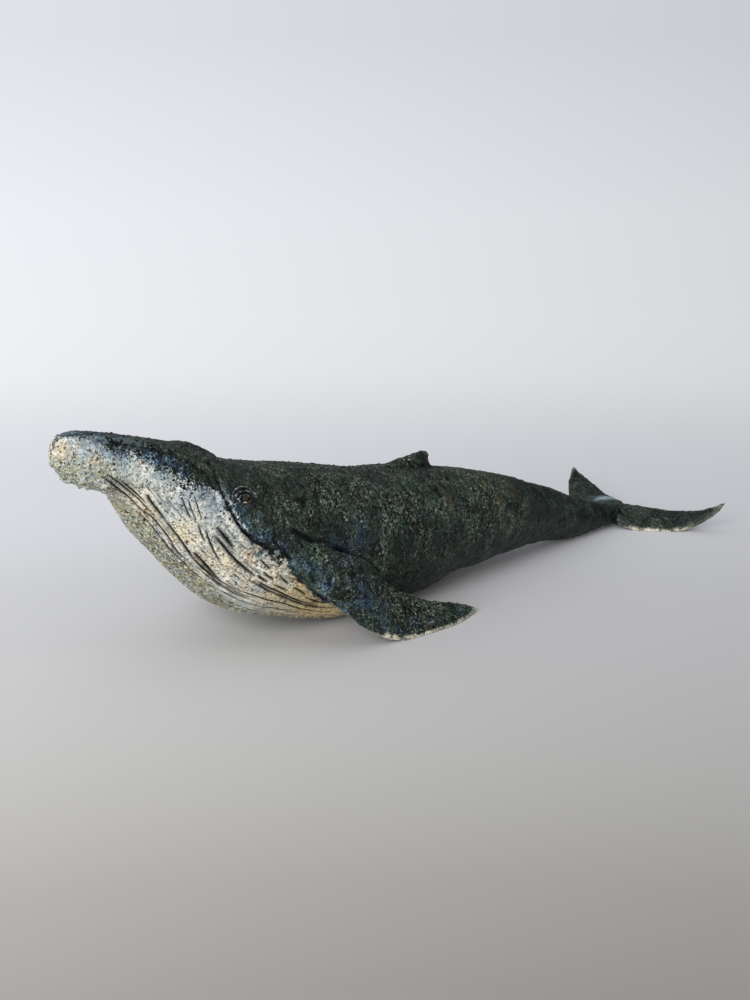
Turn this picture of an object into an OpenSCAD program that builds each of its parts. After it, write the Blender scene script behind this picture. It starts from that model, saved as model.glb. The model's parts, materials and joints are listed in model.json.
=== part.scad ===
// A humpback whale figurine, hand built in stoneware and standing by itself on a shelf.
// The trunk, throat and tail stock are hollow shells and the upper jaw is a solid slab. The fins,
// flukes, eyes, lids, lips and knobs are made apart and luted on. X runs from the snout to the
// flukes, the whale's left is on the -Y side, and Z is the height above the shelf. The flippers,
// eyes, lids and lips are alike on both sides, and the two flukes are shaped apart.

/* [Body] */
// Length of the body from the snout to the end of the tail stock
body_length = 412; // [370:1:460]
// Height of the trunk where it is deepest
trunk_height = 78.5; // [70:0.5:86]
// Width of the trunk where it is widest
trunk_width = 76; // [68:1:84]
// Height of the chin's underside above the shelf
chin_height = 94; // [84:1:104]
// Thickness of the clay wall of the hollow body
wall = 7; // [5:0.5:9]
// Depth that the belly is pressed flat where it stands
foot_depth = 0.8; // [0.5:0.1:1.2]
// Diameter of the kiln vent in the belly
vent_d = 5; // [3:0.5:8]

/* [Flippers] */
// Distance from the end of a lower lip to the front of a flipper's shoulder
shoulder_gap = 2; // [1:0.5:8]
// Length of a flipper along the body
flipper_length = 113; // [100:1:135]
// Distance from the body's middle plane to a flipper's outer edge
flipper_reach = 62; // [54:1:72]
// Height of a flipper's shoulder above the shelf
shoulder_height = 52; // [46:1:58]
// Thickness of a flipper at its shoulder
flipper_thickness = 11; // [8:0.5:14]

/* [Dorsal fin] */
// Distance from the snout to the front of the dorsal fin
dorsal_from_snout = 196; // [184:1:208]
// Length of the dorsal fin along the back
dorsal_length = 46; // [38:1:54]
// Height of the dorsal fin's tip above the back
dorsal_height = 8.5; // [6:0.5:12]
// Thickness of the dorsal fin at its foot
dorsal_thickness = 9; // [6:0.5:12]

/* [Flukes] */
// Distance that the flukes reach behind the tail stock
fluke_reach = 24.5; // [20:0.5:30]
// Width over both flukes
fluke_span = 116; // [100:1:132]
// Height of the fluke tips above the shelf
fluke_lift = 20; // [16:1:26]
// Thickness of a fluke at its root
fluke_thickness = 8; // [6:0.5:10]

/* [Head] */
// Thickness of the upper jaw's slab
jaw_thickness = 7; // [5:0.5:9]
// Number of throat pleats on each side
pleat_count = 5; // [3:1:7]
// Width of a throat pleat's groove
pleat_width = 2.4; // [1.6:0.2:3.2]
// Diameter of an eyeball
eye_d = 6; // [4.5:0.5:8]
// Distance from the bend of the mouth line back to an eye
eye_setback = 13.5; // [12:0.5:17]
// Thickness of the rolled clay of an eyelid
lid_d = 2; // [1.4:0.2:2.6]
// Thickness of the rolled clay of a lower lip
lip_d = 5; // [3.5:0.5:6.5]
// Length of the crest in front of the blowholes
crest_length = 23; // [18:1:28]
// Width of the crest
crest_width = 17; // [13:1:21]
// Height of the crest above the head
crest_height = 1.8; // [1.2:0.2:3.2]
// Diameter of a knob on the jaws
knob_d = 4.2; // [3:0.3:5.4]

/* [Hidden] */

socket_gap = 0.2;
overrun = 200;
total_length = body_length + fluke_reach;

// How far along the body, then the underside's height as a share of chin_height, and the
// section's depth and width as shares of trunk_height and trunk_width
body_shares = [
    [0.000, 1.161, 0.025, 0.035],
    [0.003, 1.140, 0.078, 0.085],
    [0.008, 1.098, 0.167, 0.145],
    [0.016, 1.046, 0.250, 0.215],
    [0.032, 1.004, 0.304, 0.300],
    [0.050, 0.969, 0.335, 0.375],
    [0.066, 0.936, 0.352, 0.410],
    [0.085, 0.888, 0.388, 0.465],
    [0.104, 0.778, 0.494, 0.565],
    [0.125, 0.637, 0.634, 0.680],
    [0.146, 0.548, 0.712, 0.775],
    [0.182, 0.385, 0.843, 0.880],
    [0.211, 0.263, 0.913, 0.930],
    [0.235, 0.191, 0.950, 0.955],
    [0.257, 0.157, 0.958, 0.970],
    [0.303, 0.098, 0.975, 0.990],
    [0.354, 0.036, 1.000, 1.000],
    [0.400, 0.004, 0.985, 0.995],
    [0.430, 0.000, 0.950, 0.970],
    [0.460, 0.004, 0.913, 0.945],
    [0.529, 0.018, 0.855, 0.890],
    [0.587, 0.070, 0.735, 0.790],
    [0.646, 0.056, 0.688, 0.700],
    [0.682, 0.078, 0.607, 0.630],
    [0.723, 0.073, 0.558, 0.565],
    [0.765, 0.073, 0.470, 0.480],
    [0.808, 0.056, 0.418, 0.400],
    [0.854, 0.022, 0.358, 0.315],
    [0.900, 0.017, 0.278, 0.240],
    [0.947, 0.030, 0.180, 0.190],
    [1.000, 0.026, 0.125, 0.160],
];
// The upper jaw's outline from above, as a share of the head's half width at each place
tongue_shares = [
    [0.012, 0.00],
    [0.020, 0.24],
    [0.045, 0.36],
    [0.080, 0.42],
    [0.112, 0.46],
    [0.135, 0.54],
    [0.155, 0.65],
    [0.165, 0.76],
    [0.170, 1.10],
];
// The mouth line down the flank and the throat's rear edge, as a share of the section's depth
mouth_shares = [
    [0.168, 0.900],
    [0.170, 0.750],
    [0.174, 0.630],
    [0.182, 0.560],
    [0.196, 0.510],
    [0.230, 0.485],
    [0.258, 0.410],
    [0.310, 0.270],
    [0.370, 0.110],
    [0.420, -0.060],
];
fullness = 2.4;
ring_points = 36;
ring_count = 62;
crowding = 1.6;
hollow_points = 20;
hollow_count = 14;
hollow_from_share = 0.075;
hollow_to_share = 0.79;
crown_share = 0.163;
stock_share = 0.728;
vent_share = 0.52;
mouth_steps = 36;
jaw_steps = 12;

function lerp(a, b, t) = a + (b - a) * t;
function power(v, e) = sign(v) * abs(v) ^ e;
function unit(v) = v / norm(v);

// A smooth curve through a table's rows, where the first column runs along it
function slope(t, i, c) =
    let (a = t[max(i - 1, 0)], b = t[min(i + 1, len(t) - 1)])
    (b[c] - a[c]) / (b[0] - a[0]);
function row_of(t, s, i = 0) = i >= len(t) - 2 || s < t[i + 1][0] ? i : row_of(t, s, i + 1);
function at(t, s, c) =
    let (i = row_of(t, s), w = t[i + 1][0] - t[i][0], u = (s - t[i][0]) / w)
    t[i][c] * (2 * u ^ 3 - 3 * u ^ 2 + 1) + t[i + 1][c] * (3 * u ^ 2 - 2 * u ^ 3)
    + slope(t, i, c) * w * (u ^ 3 - 2 * u ^ 2 + u) + slope(t, i + 1, c) * w * (u ^ 3 - u ^ 2);

// The body's outer skin: s is a share of body_length from the snout
function x_at(s) = s * body_length - total_length / 2;
function share_at(x) = (x + total_length / 2) / body_length;
function belly(s) = chin_height * at(body_shares, s, 1) - foot_depth;
function depth(s) = trunk_height * at(body_shares, s, 2);
function half_width(s) = trunk_width / 2 * at(body_shares, s, 3);
function middle(s) = belly(s) + depth(s) / 2;
function skin_y(s, z) =
    half_width(s) * (1 - min(1, abs(z - middle(s)) / (depth(s) / 2)) ^ fullness) ^ (1 / fullness);
function skin_z(s, y) =
    middle(s) + depth(s) / 2 * (1 - min(1, abs(y) / half_width(s)) ^ fullness) ^ (1 / fullness);
function left_skin(s, z) = [x_at(s), -skin_y(s, z), z];
mouth_from = mouth_shares[0][0];
mouth_to = mouth_shares[len(mouth_shares) - 1][0];
function mouth_z(s) = belly(s) + depth(s) * at(mouth_shares, s, 1);
function jaw_floor(s) = min(belly(s) + depth(s) - jaw_thickness, mouth_z(mouth_from));
tongue_from = tongue_shares[0][0];
tongue_to = tongue_shares[len(tongue_shares) - 1][0];
function tongue_y(s) = half_width(s) * at(tongue_shares, s, 1);

function body_ring(s, inset, points) = [
    for (i = [0 : points - 1])
        let (a = 360 * i / points)
        [
            x_at(s),
            (half_width(s) - inset) * power(cos(a), 2 / fullness),
            middle(s) + (depth(s) / 2 - inset) * power(sin(a), 2 / fullness)
        ]
];

// A closed skin over a row of rings, and the same row made of convex lengths
module skin(rings) {
    n = len(rings[0]);
    last = len(rings) - 1;
    sides = [
        for (k = [0 : last - 1], i = [0 : n - 1])
            let (a = k * n + i, b = k * n + (i + 1) % n)
            each [[a, a + n, b], [b, a + n, b + n]]
    ];
    ends = [[for (i = [0 : n - 1]) i], [for (i = [n - 1 : -1 : 0]) last * n + i]];
    polyhedron([for (ring = rings) each ring], concat(sides, ends));
}
module lengths(rings)
    for (i = [0 : len(rings) - 2])
        hull()
        skin([rings[i], rings[i + 1]]);

module body_solid()
    skin([for (k = [0 : ring_count]) body_ring((k / ring_count) ^ crowding, 0, ring_points)]);
module hollow()
    lengths([
        for (k = [0 : hollow_count])
            body_ring(lerp(hollow_from_share, hollow_to_share, k / hollow_count), wall, hollow_points)
    ]);
module slab(x_from, x_to)
    translate([x_from, -overrun / 2, 0])
    cube([x_to - x_from, overrun, overrun]);
module tongue_outline()
    polygon(concat(
        [for (k = [0 : mouth_steps]) let (s = lerp(tongue_from, tongue_to, k / mouth_steps))
            [x_at(s), tongue_y(s)]],
        [[x_at(tongue_to), overrun], [x_at(tongue_to) + overrun * 2, overrun]],
        [[x_at(tongue_to) + overrun * 2, -overrun], [x_at(tongue_to), -overrun]],
        [for (k = [mouth_steps : -1 : 0]) let (s = lerp(tongue_from, tongue_to, k / mouth_steps))
            [x_at(s), -tongue_y(s)]]
    ));
module mouth_outline()
    polygon(concat(
        [[x_at(0) - overrun, overrun], [x_at(0) - overrun, jaw_floor(0)]],
        [for (k = [0 : jaw_steps - 1]) let (s = mouth_from * k / jaw_steps)
            [x_at(s), jaw_floor(s)]],
        [for (k = [0 : mouth_steps]) let (s = lerp(mouth_from, mouth_to, k / mouth_steps))
            [x_at(s), mouth_z(s)]],
        [[x_at(mouth_to), -overrun], [x_at(mouth_to) + overrun * 2, -overrun]],
        [[x_at(mouth_to) + overrun * 2, overrun]]
    ));
// Everything above the mouth line: the slab of the upper jaw in front, and all that is behind
module upper_side()
    intersection() {
        linear_extrude(overrun * 2, center = true)
        tongue_outline();
        rotate([90, 0, 0])
        linear_extrude(overrun, center = true)
        mouth_outline();
    }

module trunk_shell()
    color("darkslategray")
    difference() {
        intersection() {
            body_solid();
            slab(x_at(crown_share), x_at(stock_share));
            upper_side();
        }
        hollow();
        eye_sockets();
        translate([x_at(vent_share), 0, 0])
        cylinder(d = vent_d, h = wall * 4, center = true, $fn = 24);
    }
module tail_stock()
    color("darkslategray")
    difference() {
        intersection() {
            body_solid();
            slab(x_at(stock_share), x_at(1));
        }
        hollow();
    }
module upper_jaw()
    color("steelblue")
    difference() {
        intersection() {
            body_solid();
            slab(x_at(0) - overrun, x_at(crown_share));
            upper_side();
        }
        hollow();
    }
module throat_shell()
    color("lightgray")
    difference() {
        intersection() {
            body_solid();
            slab(x_at(0) - overrun, x_at(mouth_to));
        }
        upper_side();
        hollow();
        for (side = [0, 1], k = [0 : pleat_count - 1])
            mirror([0, side, 0])
            pleat(k);
    }

// Blades: each row of a table gives how far out it is, then the front edge and the rear edge as
// shares of the blade's length, reach and height, and the thickness there
function edge(t, s, c) = [at(t, s, c), at(t, s, c + 1), at(t, s, c + 2)];
function scaled(v, by) = [v[0] * by[0], v[1] * by[1], v[2] * by[2]];
blade_points = 14;
blade_rings = 20;
tangent_step = 0.01;
blade_fullness = 2.4;
function blade_ring(table, s, start, by, thickness) =
    let (
        front = start + scaled(edge(table, s, 1), by),
        rear = start + scaled(edge(table, s, 4), by),
        before = max(s - tangent_step, 0),
        after = min(s + tangent_step, 1),
        out = scaled(edge(table, after, 1) + edge(table, after, 4)
            - edge(table, before, 1) - edge(table, before, 4), by),
        across = unit(cross(rear - front, out)),
        thick = thickness * at(table, s, 7)
    )
    [
        for (i = [0 : blade_points - 1])
            let (a = 360 * i / blade_points)
            (front + rear) / 2 - (rear - front) / 2 * power(cos(a), 2 / blade_fullness)
            + across * thick / 2 * power(sin(a), 2 / blade_fullness)
    ];
module blade(table, start, by, thickness)
    lengths([for (k = [0 : blade_rings]) blade_ring(table, k / blade_rings, start, by, thickness)]);
module left_of_middle()
    translate([-overrun * 2, -overrun, 0])
    cube([overrun * 4, overrun, overrun]);

flipper_shares = [
    [0.00, 0.060, -0.350, 0.940, 0.200, -0.350, 1.060, 1.00],
    [0.10, 0.000, -0.550, 0.885, 0.190, -0.560, 1.000, 1.00],
    [0.20, 0.060, -0.680, 0.680, 0.270, -0.655, 0.875, 0.95],
    [0.30, 0.145, -0.790, 0.500, 0.345, -0.695, 0.815, 0.88],
    [0.40, 0.230, -0.870, 0.310, 0.405, -0.720, 0.730, 0.82],
    [0.50, 0.330, -0.930, 0.135, 0.455, -0.735, 0.595, 0.76],
    [0.60, 0.435, -0.970, 0.020, 0.530, -0.760, 0.435, 0.70],
    [0.70, 0.565, -0.990, -0.012, 0.625, -0.785, 0.335, 0.62],
    [0.80, 0.700, -1.000, -0.012, 0.725, -0.815, 0.230, 0.55],
    [0.90, 0.840, -0.985, -0.008, 0.855, -0.855, 0.163, 0.45],
    [0.97, 0.950, -0.925, 0.004, 0.950, -0.850, 0.090, 0.34],
    [1.00, 1.000, -0.890, 0.020, 1.000, -0.870, 0.045, 0.22],
];
module flipper()
    difference() {
        intersection() {
            blade(
                flipper_shares,
                [x_at(lip_to_share) + shoulder_gap, 0, 0],
                [flipper_length, flipper_reach, shoulder_height],
                flipper_thickness
            );
            left_of_middle();
        }
        body_solid();
    }

left_fluke_shares = [
    [0.00, -0.740, 0.080, 0.400, 0.060, 0.080, 0.475, 1.00],
    [0.15, -0.590, -0.170, 0.150, 0.225, -0.155, 0.500, 1.00],
    [0.30, -0.390, -0.330, 0.010, 0.390, -0.310, 0.480, 0.88],
    [0.45, -0.100, -0.515, -0.015, 0.570, -0.500, 0.470, 0.76],
    [0.60, 0.265, -0.665, 0.035, 0.675, -0.672, 0.560, 0.66],
    [0.75, 0.590, -0.795, 0.225, 0.775, -0.828, 0.690, 0.56],
    [0.88, 0.815, -0.922, 0.550, 0.880, -0.931, 0.825, 0.45],
    [1.00, 0.960, -0.990, 0.900, 0.970, -0.992, 0.930, 0.30],
];
right_fluke_shares = [
    [0.00, -0.740, 0.080, 0.400, 0.060, 0.080, 0.475, 1.00],
    [0.15, -0.590, -0.170, 0.150, 0.345, -0.172, 0.500, 1.00],
    [0.30, -0.410, -0.345, 0.010, 0.550, -0.328, 0.485, 0.88],
    [0.45, -0.150, -0.517, -0.015, 0.735, -0.483, 0.480, 0.76],
    [0.60, 0.120, -0.690, 0.075, 0.860, -0.620, 0.600, 0.66],
    [0.75, 0.390, -0.836, 0.250, 0.940, -0.776, 0.750, 0.56],
    [0.88, 0.630, -0.948, 0.550, 0.985, -0.905, 0.900, 0.45],
    [1.00, 0.930, -1.000, 1.000, 0.980, -0.991, 1.040, 0.30],
];
module fluke(table)
    difference() {
        intersection() {
            blade(table, [x_at(1), 0, 0], [fluke_reach, fluke_span / 2, fluke_lift], fluke_thickness);
            left_of_middle();
        }
        body_solid();
    }

// The dorsal fin is a row of rings that follow the back, from inside it up to the tip: height,
// front and rear end as shares of the fin's length, and thickness
dorsal_shares = [
    [-1.00, -0.060, 1.030, 1.00],
    [0.00, 0.000, 1.000, 0.95],
    [0.25, 0.280, 0.970, 0.80],
    [0.50, 0.500, 0.950, 0.66],
    [0.75, 0.670, 0.945, 0.52],
    [0.93, 0.780, 0.935, 0.38],
    [1.00, 0.840, 0.900, 0.22],
];
dorsal_points = 16;
dorsal_rings = 12;
function back_top(x) = belly(share_at(x)) + depth(share_at(x));
function dorsal_ring(h) =
    let (
        start = x_at(0) + dorsal_from_snout,
        front = start + dorsal_length * at(dorsal_shares, h, 1),
        rear = start + dorsal_length * at(dorsal_shares, h, 2)
    )
    [
        for (i = [0 : dorsal_points - 1])
            let (a = 360 * i / dorsal_points, x = (front + rear) / 2 - (rear - front) / 2 * cos(a))
            [
                x,
                dorsal_thickness / 2 * at(dorsal_shares, h, 3) * sin(a),
                back_top(x) + dorsal_height * h
            ]
    ];
module dorsal_fin()
    color("darkslategray")
    difference() {
        lengths([for (k = [0 : dorsal_rings]) dorsal_ring(lerp(-1, 1, k / dorsal_rings))]);
        body_solid();
    }

// Rolled clay, or a groove of the same form, along a path on the skin
function roll_ring(path, k, d, points) =
    let (
        along = unit(path[min(k + 1, len(path) - 1)] - path[max(k - 1, 0)]),
        outward = unit(cross(along, [0, 0, 1])),
        other = cross(along, outward)
    )
    [
        for (i = [0 : points - 1])
            let (a = 360 * i / points)
            path[k] + d[k] / 2 * (outward * cos(a) + other * sin(a))
    ];
module roll(path, d, points = 8)
    lengths([for (k = [0 : len(path) - 1]) roll_ring(path, k, d, points)]);
function taper(t) = max(sin(180 * t), 0) ^ (1 / 3);

// A pleat runs from the chin to the belly at a steady angle round the section from its underside
pleat_rings = 10;
pleat_points = 4;
pleat_from_share = 0.05;
pleat_to_share = 0.40;
pleat_spread = 84;
pleat_rise_share = 0.16;
function pleat_place(s, a) = [
    x_at(s),
    -half_width(s) * power(sin(a), 2 / fullness),
    middle(s) - depth(s) / 2 * power(cos(a), 2 / fullness)
];
module pleat(k)
    let (
        out = (k + 1 / 2) / pleat_count,
        from = lerp(pleat_from_share, pleat_from_share * 2, out),
        to = lerp(pleat_to_share, pleat_to_share - pleat_rise_share, out)
    )
    roll(
        [
            for (i = [0 : pleat_rings])
                let (s = lerp(from, to, i / pleat_rings))
                pleat_place(s, pleat_spread * out)
        ],
        [for (i = [0 : pleat_rings]) pleat_width * max(taper(i / pleat_rings), 1 / 8)],
        pleat_points
    );

// A lower lip goes along the jaw's rim beside the upper jaw, then down the flank
lip_sink_share = 0.1;
lip_front_rings = 12;
lip_flank_rings = 8;
lip_from_share = 0.022;
lip_turn_share = 0.163;
lip_to_share = 0.25;
lip_rings = lip_front_rings + lip_flank_rings + 1;
lip_path = concat(
    [
        for (k = [0 : lip_front_rings])
            let (s = lerp(lip_from_share, lip_turn_share, k / lip_front_rings), y = tongue_y(s) + lip_d / 2)
            [x_at(s), -y, skin_z(s, y) - lip_d * lip_sink_share]
    ],
    [
        for (k = [0 : lip_flank_rings])
            let (s = lerp(mouth_shares[2][0], lip_to_share, k / lip_flank_rings))
            left_skin(s, mouth_z(s) - lip_d / 2) + [-lip_d / 4, lip_d * lip_sink_share, 0]
    ]
);
module lower_lip()
    difference() {
        roll(lip_path, [for (k = [0 : lip_rings]) lip_d * max(taper(k / lip_rings), 1 / 3)]);
        body_solid();
        eye_sockets();
    }

eye_height_share = 0.755;
eye_share = mouth_shares[1][0] + eye_setback / body_length;
eye_sink_share = 0.35;
eye_middle = left_skin(eye_share, belly(eye_share) + depth(eye_share) * eye_height_share)
    + [0, eye_d * eye_sink_share, 0];
module eye()
    translate(eye_middle)
    sphere(d = eye_d, $fn = 32);
module eye_sockets()
    for (side = [0, 1])
        mirror([0, side, 0])
        translate(eye_middle)
        sphere(d = eye_d + 2 * socket_gap, $fn = 32);

lid_rings = 10;
lid_long_share = 0.78;
lid_high_share = 0.52;
lid_open = 8;
function lid_path(from, to) = [
    for (k = [0 : lid_rings])
        let (
            a = lerp(from, to, k / lid_rings),
            x = eye_middle[0] + (eye_d + lid_d) * lid_long_share * cos(a),
            z = eye_middle[2] + (eye_d + lid_d) * lid_high_share * sin(a)
        )
        left_skin(share_at(x), z)
];
module eyelids()
    difference() {
        for (from = [lid_open, 180 + lid_open])
            roll(
                lid_path(from, from + 180 - 2 * lid_open),
                [for (k = [0 : lid_rings]) lid_d * max(taper(k / lid_rings), 1 / 2)]
            );
        body_solid();
        eye_sockets();
    }

// The crest is a low mound in front of the two blowholes
crest_rings = 10;
crest_points = 16;
crest_end_share = 0.222;
module blowhole_crest()
    color("darkslategray")
    difference() {
        lengths([
            for (k = [0 : crest_rings])
                let (
                    t = k / crest_rings,
                    x = x_at(crest_end_share) + crest_length * (t - 1),
                    swell = max(taper(t), 1 / 3)
                )
                [
                    for (i = [0 : crest_points - 1])
                        let (a = 360 * i / crest_points)
                        [
                            x,
                            crest_width / 2 * swell * cos(a),
                            back_top(x) + crest_height * swell * sin(a)
                        ]
                ]
        ]);
        body_solid();
    }

// Knobs on the jaws: how far along the body, and how far out as a share of the upper jaw's
// half width on top and of the head's half width below
snout_knob_shares = [
    [0.030, 0.00], [0.052, 0.50], [0.052, -0.50], [0.074, 0.00], [0.094, 0.62], [0.094, -0.62],
    [0.112, 0.00], [0.130, 0.66], [0.130, -0.66],
];
chin_knob_shares = [
    [0.006, 0.45], [0.006, -0.45], [0.020, 0.00], [0.026, 0.60], [0.026, -0.60],
    [0.040, 0.25], [0.040, -0.25], [0.050, 0.70], [0.050, -0.70],
];
knob_rise_share = 0.3;
knob_points = 8;
module knob(place)
    translate(place)
    hull() {
        sphere(d = knob_d, $fn = knob_points);
        translate([0, 0, knob_d * knob_rise_share / 2])
        sphere(d = knob_d * (1 - knob_rise_share), $fn = knob_points);
    }
module snout_tubercles()
    color("gray")
    difference() {
        for (k = snout_knob_shares)
            let (y = tongue_y(k[0]) * k[1])
            knob([x_at(k[0]), y, skin_z(k[0], y) - knob_d * knob_rise_share]);
        body_solid();
    }
module chin_tubercles()
    color("tan")
    difference() {
        for (k = chin_knob_shares)
            let (y = half_width(k[0]) * k[1], z = 2 * middle(k[0]) - skin_z(k[0], y))
            knob([x_at(k[0]), y, z + knob_d * knob_rise_share / 2]);
        body_solid();
    }

module on_the_right()
    mirror([0, 1, 0])
    children();
module left_flipper() color("slategray") flipper();
module right_flipper() color("slategray") on_the_right() flipper();
module left_fluke() color("slategray") fluke(left_fluke_shares);
module right_fluke() color("slategray") on_the_right() fluke(right_fluke_shares);
module left_eye() color("black") eye();
module right_eye() color("black") on_the_right() eye();
module left_eyelids() color("darkslategray") eyelids();
module right_eyelids() color("darkslategray") on_the_right() eyelids();
module left_lower_lip() color("steelblue") lower_lip();
module right_lower_lip() color("steelblue") on_the_right() lower_lip();

trunk_shell();
tail_stock();
upper_jaw();
throat_shell();
blowhole_crest();
dorsal_fin();
left_flipper();
right_flipper();
left_fluke();
right_fluke();
left_eye();
right_eye();
left_eyelids();
right_eyelids();
left_lower_lip();
right_lower_lip();
snout_tubercles();
chin_tubercles();
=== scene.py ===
# %% [markdown]
# # A stoneware whale, dressed for the shelf
# The CAD model gives the pieces a potter would roll, press and cut: a hollow trunk, a throat, an
# upper jaw, fins and small rolls of clay. On the real figurine they are luted together with slip,
# scratched with a pin and glazed as one, so the finished skin runs on from piece to piece. This
# script starts from the CAD pieces, fuses them into one skin, carves it, and cuts it again along
# the same joints, so that each piece is dressed by itself and no seam shows.

# %% Load the fixed frame
import json
import math
import time
from types import SimpleNamespace

import bpy
import bmesh
import numpy as np
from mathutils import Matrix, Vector

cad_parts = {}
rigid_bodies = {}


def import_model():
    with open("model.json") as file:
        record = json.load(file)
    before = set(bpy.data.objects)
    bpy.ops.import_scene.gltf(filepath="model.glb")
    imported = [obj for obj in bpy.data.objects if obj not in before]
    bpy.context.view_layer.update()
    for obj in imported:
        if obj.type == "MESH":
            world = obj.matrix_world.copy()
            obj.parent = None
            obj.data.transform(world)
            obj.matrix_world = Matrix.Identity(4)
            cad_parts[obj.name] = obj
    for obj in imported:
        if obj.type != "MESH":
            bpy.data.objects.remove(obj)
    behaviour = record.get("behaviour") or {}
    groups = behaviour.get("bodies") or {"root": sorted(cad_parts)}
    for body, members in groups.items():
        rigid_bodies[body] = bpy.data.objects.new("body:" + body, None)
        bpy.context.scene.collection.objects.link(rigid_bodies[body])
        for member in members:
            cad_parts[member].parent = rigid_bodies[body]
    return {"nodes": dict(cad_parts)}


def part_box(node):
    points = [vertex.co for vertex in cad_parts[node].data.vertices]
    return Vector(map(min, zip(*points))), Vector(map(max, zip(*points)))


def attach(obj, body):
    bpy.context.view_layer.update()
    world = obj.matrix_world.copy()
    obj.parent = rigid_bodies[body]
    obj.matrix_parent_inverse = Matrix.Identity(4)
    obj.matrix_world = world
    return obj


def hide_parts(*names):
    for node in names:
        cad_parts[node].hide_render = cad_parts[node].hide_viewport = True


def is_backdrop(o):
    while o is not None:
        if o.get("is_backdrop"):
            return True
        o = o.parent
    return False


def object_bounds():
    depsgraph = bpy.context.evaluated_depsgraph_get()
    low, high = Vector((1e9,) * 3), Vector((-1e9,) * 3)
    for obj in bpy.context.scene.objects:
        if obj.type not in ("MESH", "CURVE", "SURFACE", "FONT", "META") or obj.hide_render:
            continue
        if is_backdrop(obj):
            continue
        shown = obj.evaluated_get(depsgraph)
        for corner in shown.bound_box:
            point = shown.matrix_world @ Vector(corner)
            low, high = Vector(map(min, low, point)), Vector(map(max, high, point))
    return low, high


started = time.time()
for spare in list(bpy.data.objects):
    bpy.data.objects.remove(spare)
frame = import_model()
cad_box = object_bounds()
cad = frame["nodes"]
print("CAD pieces:", len(cad))


def lap_time(what):
    print(f"{what}: {time.time() - started:.1f} s")

# %% [markdown]
# ## Working in arrays
# A skin of a few hundred thousand points is slow to move one point at a time in Python. Blender
# hands whole columns of numbers over to numpy and takes them back, so every carving step below is
# a sum over columns: places, normals and masks.

# %% Read and write meshes as arrays
MM = 0.001


def points_of(mesh):
    flat = np.empty(len(mesh.vertices) * 3, np.float32)
    mesh.vertices.foreach_get("co", flat)
    return flat.reshape(-1, 3).astype(float)


def triangles_of(mesh):
    mesh.calc_loop_triangles()
    flat = np.empty(len(mesh.loop_triangles) * 3, np.int32)
    mesh.loop_triangles.foreach_get("vertices", flat)
    return flat.reshape(-1, 3)


def mesh_from(name, points, faces):
    mesh = bpy.data.meshes.new(name)
    mesh.from_pydata([tuple(p) for p in points], [], [tuple(f) for f in faces])
    mesh.update()
    return mesh


def put_in_scene(name, mesh):
    made = bpy.data.objects.new(name, mesh)
    bpy.context.scene.collection.objects.link(made)
    return made


def write_attribute(mesh, name, values, domain="POINT", kind="FLOAT"):
    made = mesh.attributes.get(name) or mesh.attributes.new(name, kind, domain)
    made.data.foreach_set("value", np.ascontiguousarray(values))


def read_attribute(mesh, name, kind=np.float32):
    found = mesh.attributes[name]
    values = np.empty(len(found.data), kind)
    found.data.foreach_get("value", values)
    return values

# %% [markdown]
# ## One clay body from many pieces
# Every CAD piece but the eyeballs goes into one mesh, and each face remembers which piece it came
# from. A small plug closes the kiln vent a few millimetres up, so that the vent stays a blind hole
# and the empty inside of the body is shut off.

# %% Join the CAD pieces
PIECES = [n for n in sorted(cad) if not n.endswith("_eye")]
VENT_X, VENT_R, VENT_DEEP = -4.0 * MM, 3.4 * MM, 3.5 * MM


def vent_plug():
    plug = bmesh.new()
    bmesh.ops.create_cone(plug, cap_ends=True, segments=16, radius1=VENT_R, radius2=VENT_R, depth=6 * MM)
    bmesh.ops.translate(plug, verts=plug.verts, vec=(VENT_X, 0, VENT_DEEP + 3 * MM))
    bmesh.ops.triangulate(plug, faces=plug.faces)
    made = bpy.data.meshes.new("vent_plug")
    plug.to_mesh(made)
    plug.free()
    return made


def merged(points, faces):
    keys = np.round(points / (0.002 * MM)).astype(np.int64)
    _, first, back = np.unique(keys, axis=0, return_index=True, return_inverse=True)
    faces = back.reshape(-1)[faces]
    whole = (faces[:, 0] != faces[:, 1]) & (faces[:, 1] != faces[:, 2]) & (faces[:, 0] != faces[:, 2])
    return points[first], faces[whole]


all_points, all_faces, all_owner = [], [], []
count = 0
for index, name in enumerate(PIECES + ["plug"]):
    mesh = vent_plug() if name == "plug" else cad[name].data
    owner = PIECES.index("trunk_shell") if name == "plug" else index
    points, faces = merged(points_of(mesh), triangles_of(mesh))
    all_points.append(points)
    all_faces.append(faces + count)
    all_owner.append(np.full(len(faces), owner, np.int32))
    count += len(points)
clay = mesh_from("clay", np.concatenate(all_points), np.concatenate(all_faces))
write_attribute(clay, "piece", np.concatenate(all_owner), "FACE", "INT")
clay_object = put_in_scene("clay", clay)
print("clay points:", len(clay.vertices), "faces:", len(clay.polygons))

# %% [markdown]
# ## Fusing the pieces
# Wet clay pieces are scored and pressed together until the joint disappears. The Remesh modifier
# does the same: it fills the joined pieces with small cubes and lays a new even skin over them. A
# small Geometry Nodes tree then asks, for every new face, which CAD piece lies nearest.

# %% Helpers for Geometry Nodes trees
def modifier_input(modifier, name, value):
    for item in modifier.node_group.interface.items_tree:
        if item.item_type == "SOCKET" and item.in_out == "INPUT" and item.name == name:
            modifier[item.identifier] = value
            return
    raise KeyError(name)


def tree_with(name, inputs):
    tree = bpy.data.node_groups.new(name, "GeometryNodeTree")
    tree.interface.new_socket("Geometry", in_out="INPUT", socket_type="NodeSocketGeometry")
    for label, kind, value in inputs:
        socket = tree.interface.new_socket(label, in_out="INPUT", socket_type=kind)
        if value is not None:
            socket.default_value = value
    tree.interface.new_socket("Geometry", in_out="OUTPUT", socket_type="NodeSocketGeometry")
    return tree, tree.nodes.new("NodeGroupInput"), tree.nodes.new("NodeGroupOutput")


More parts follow.
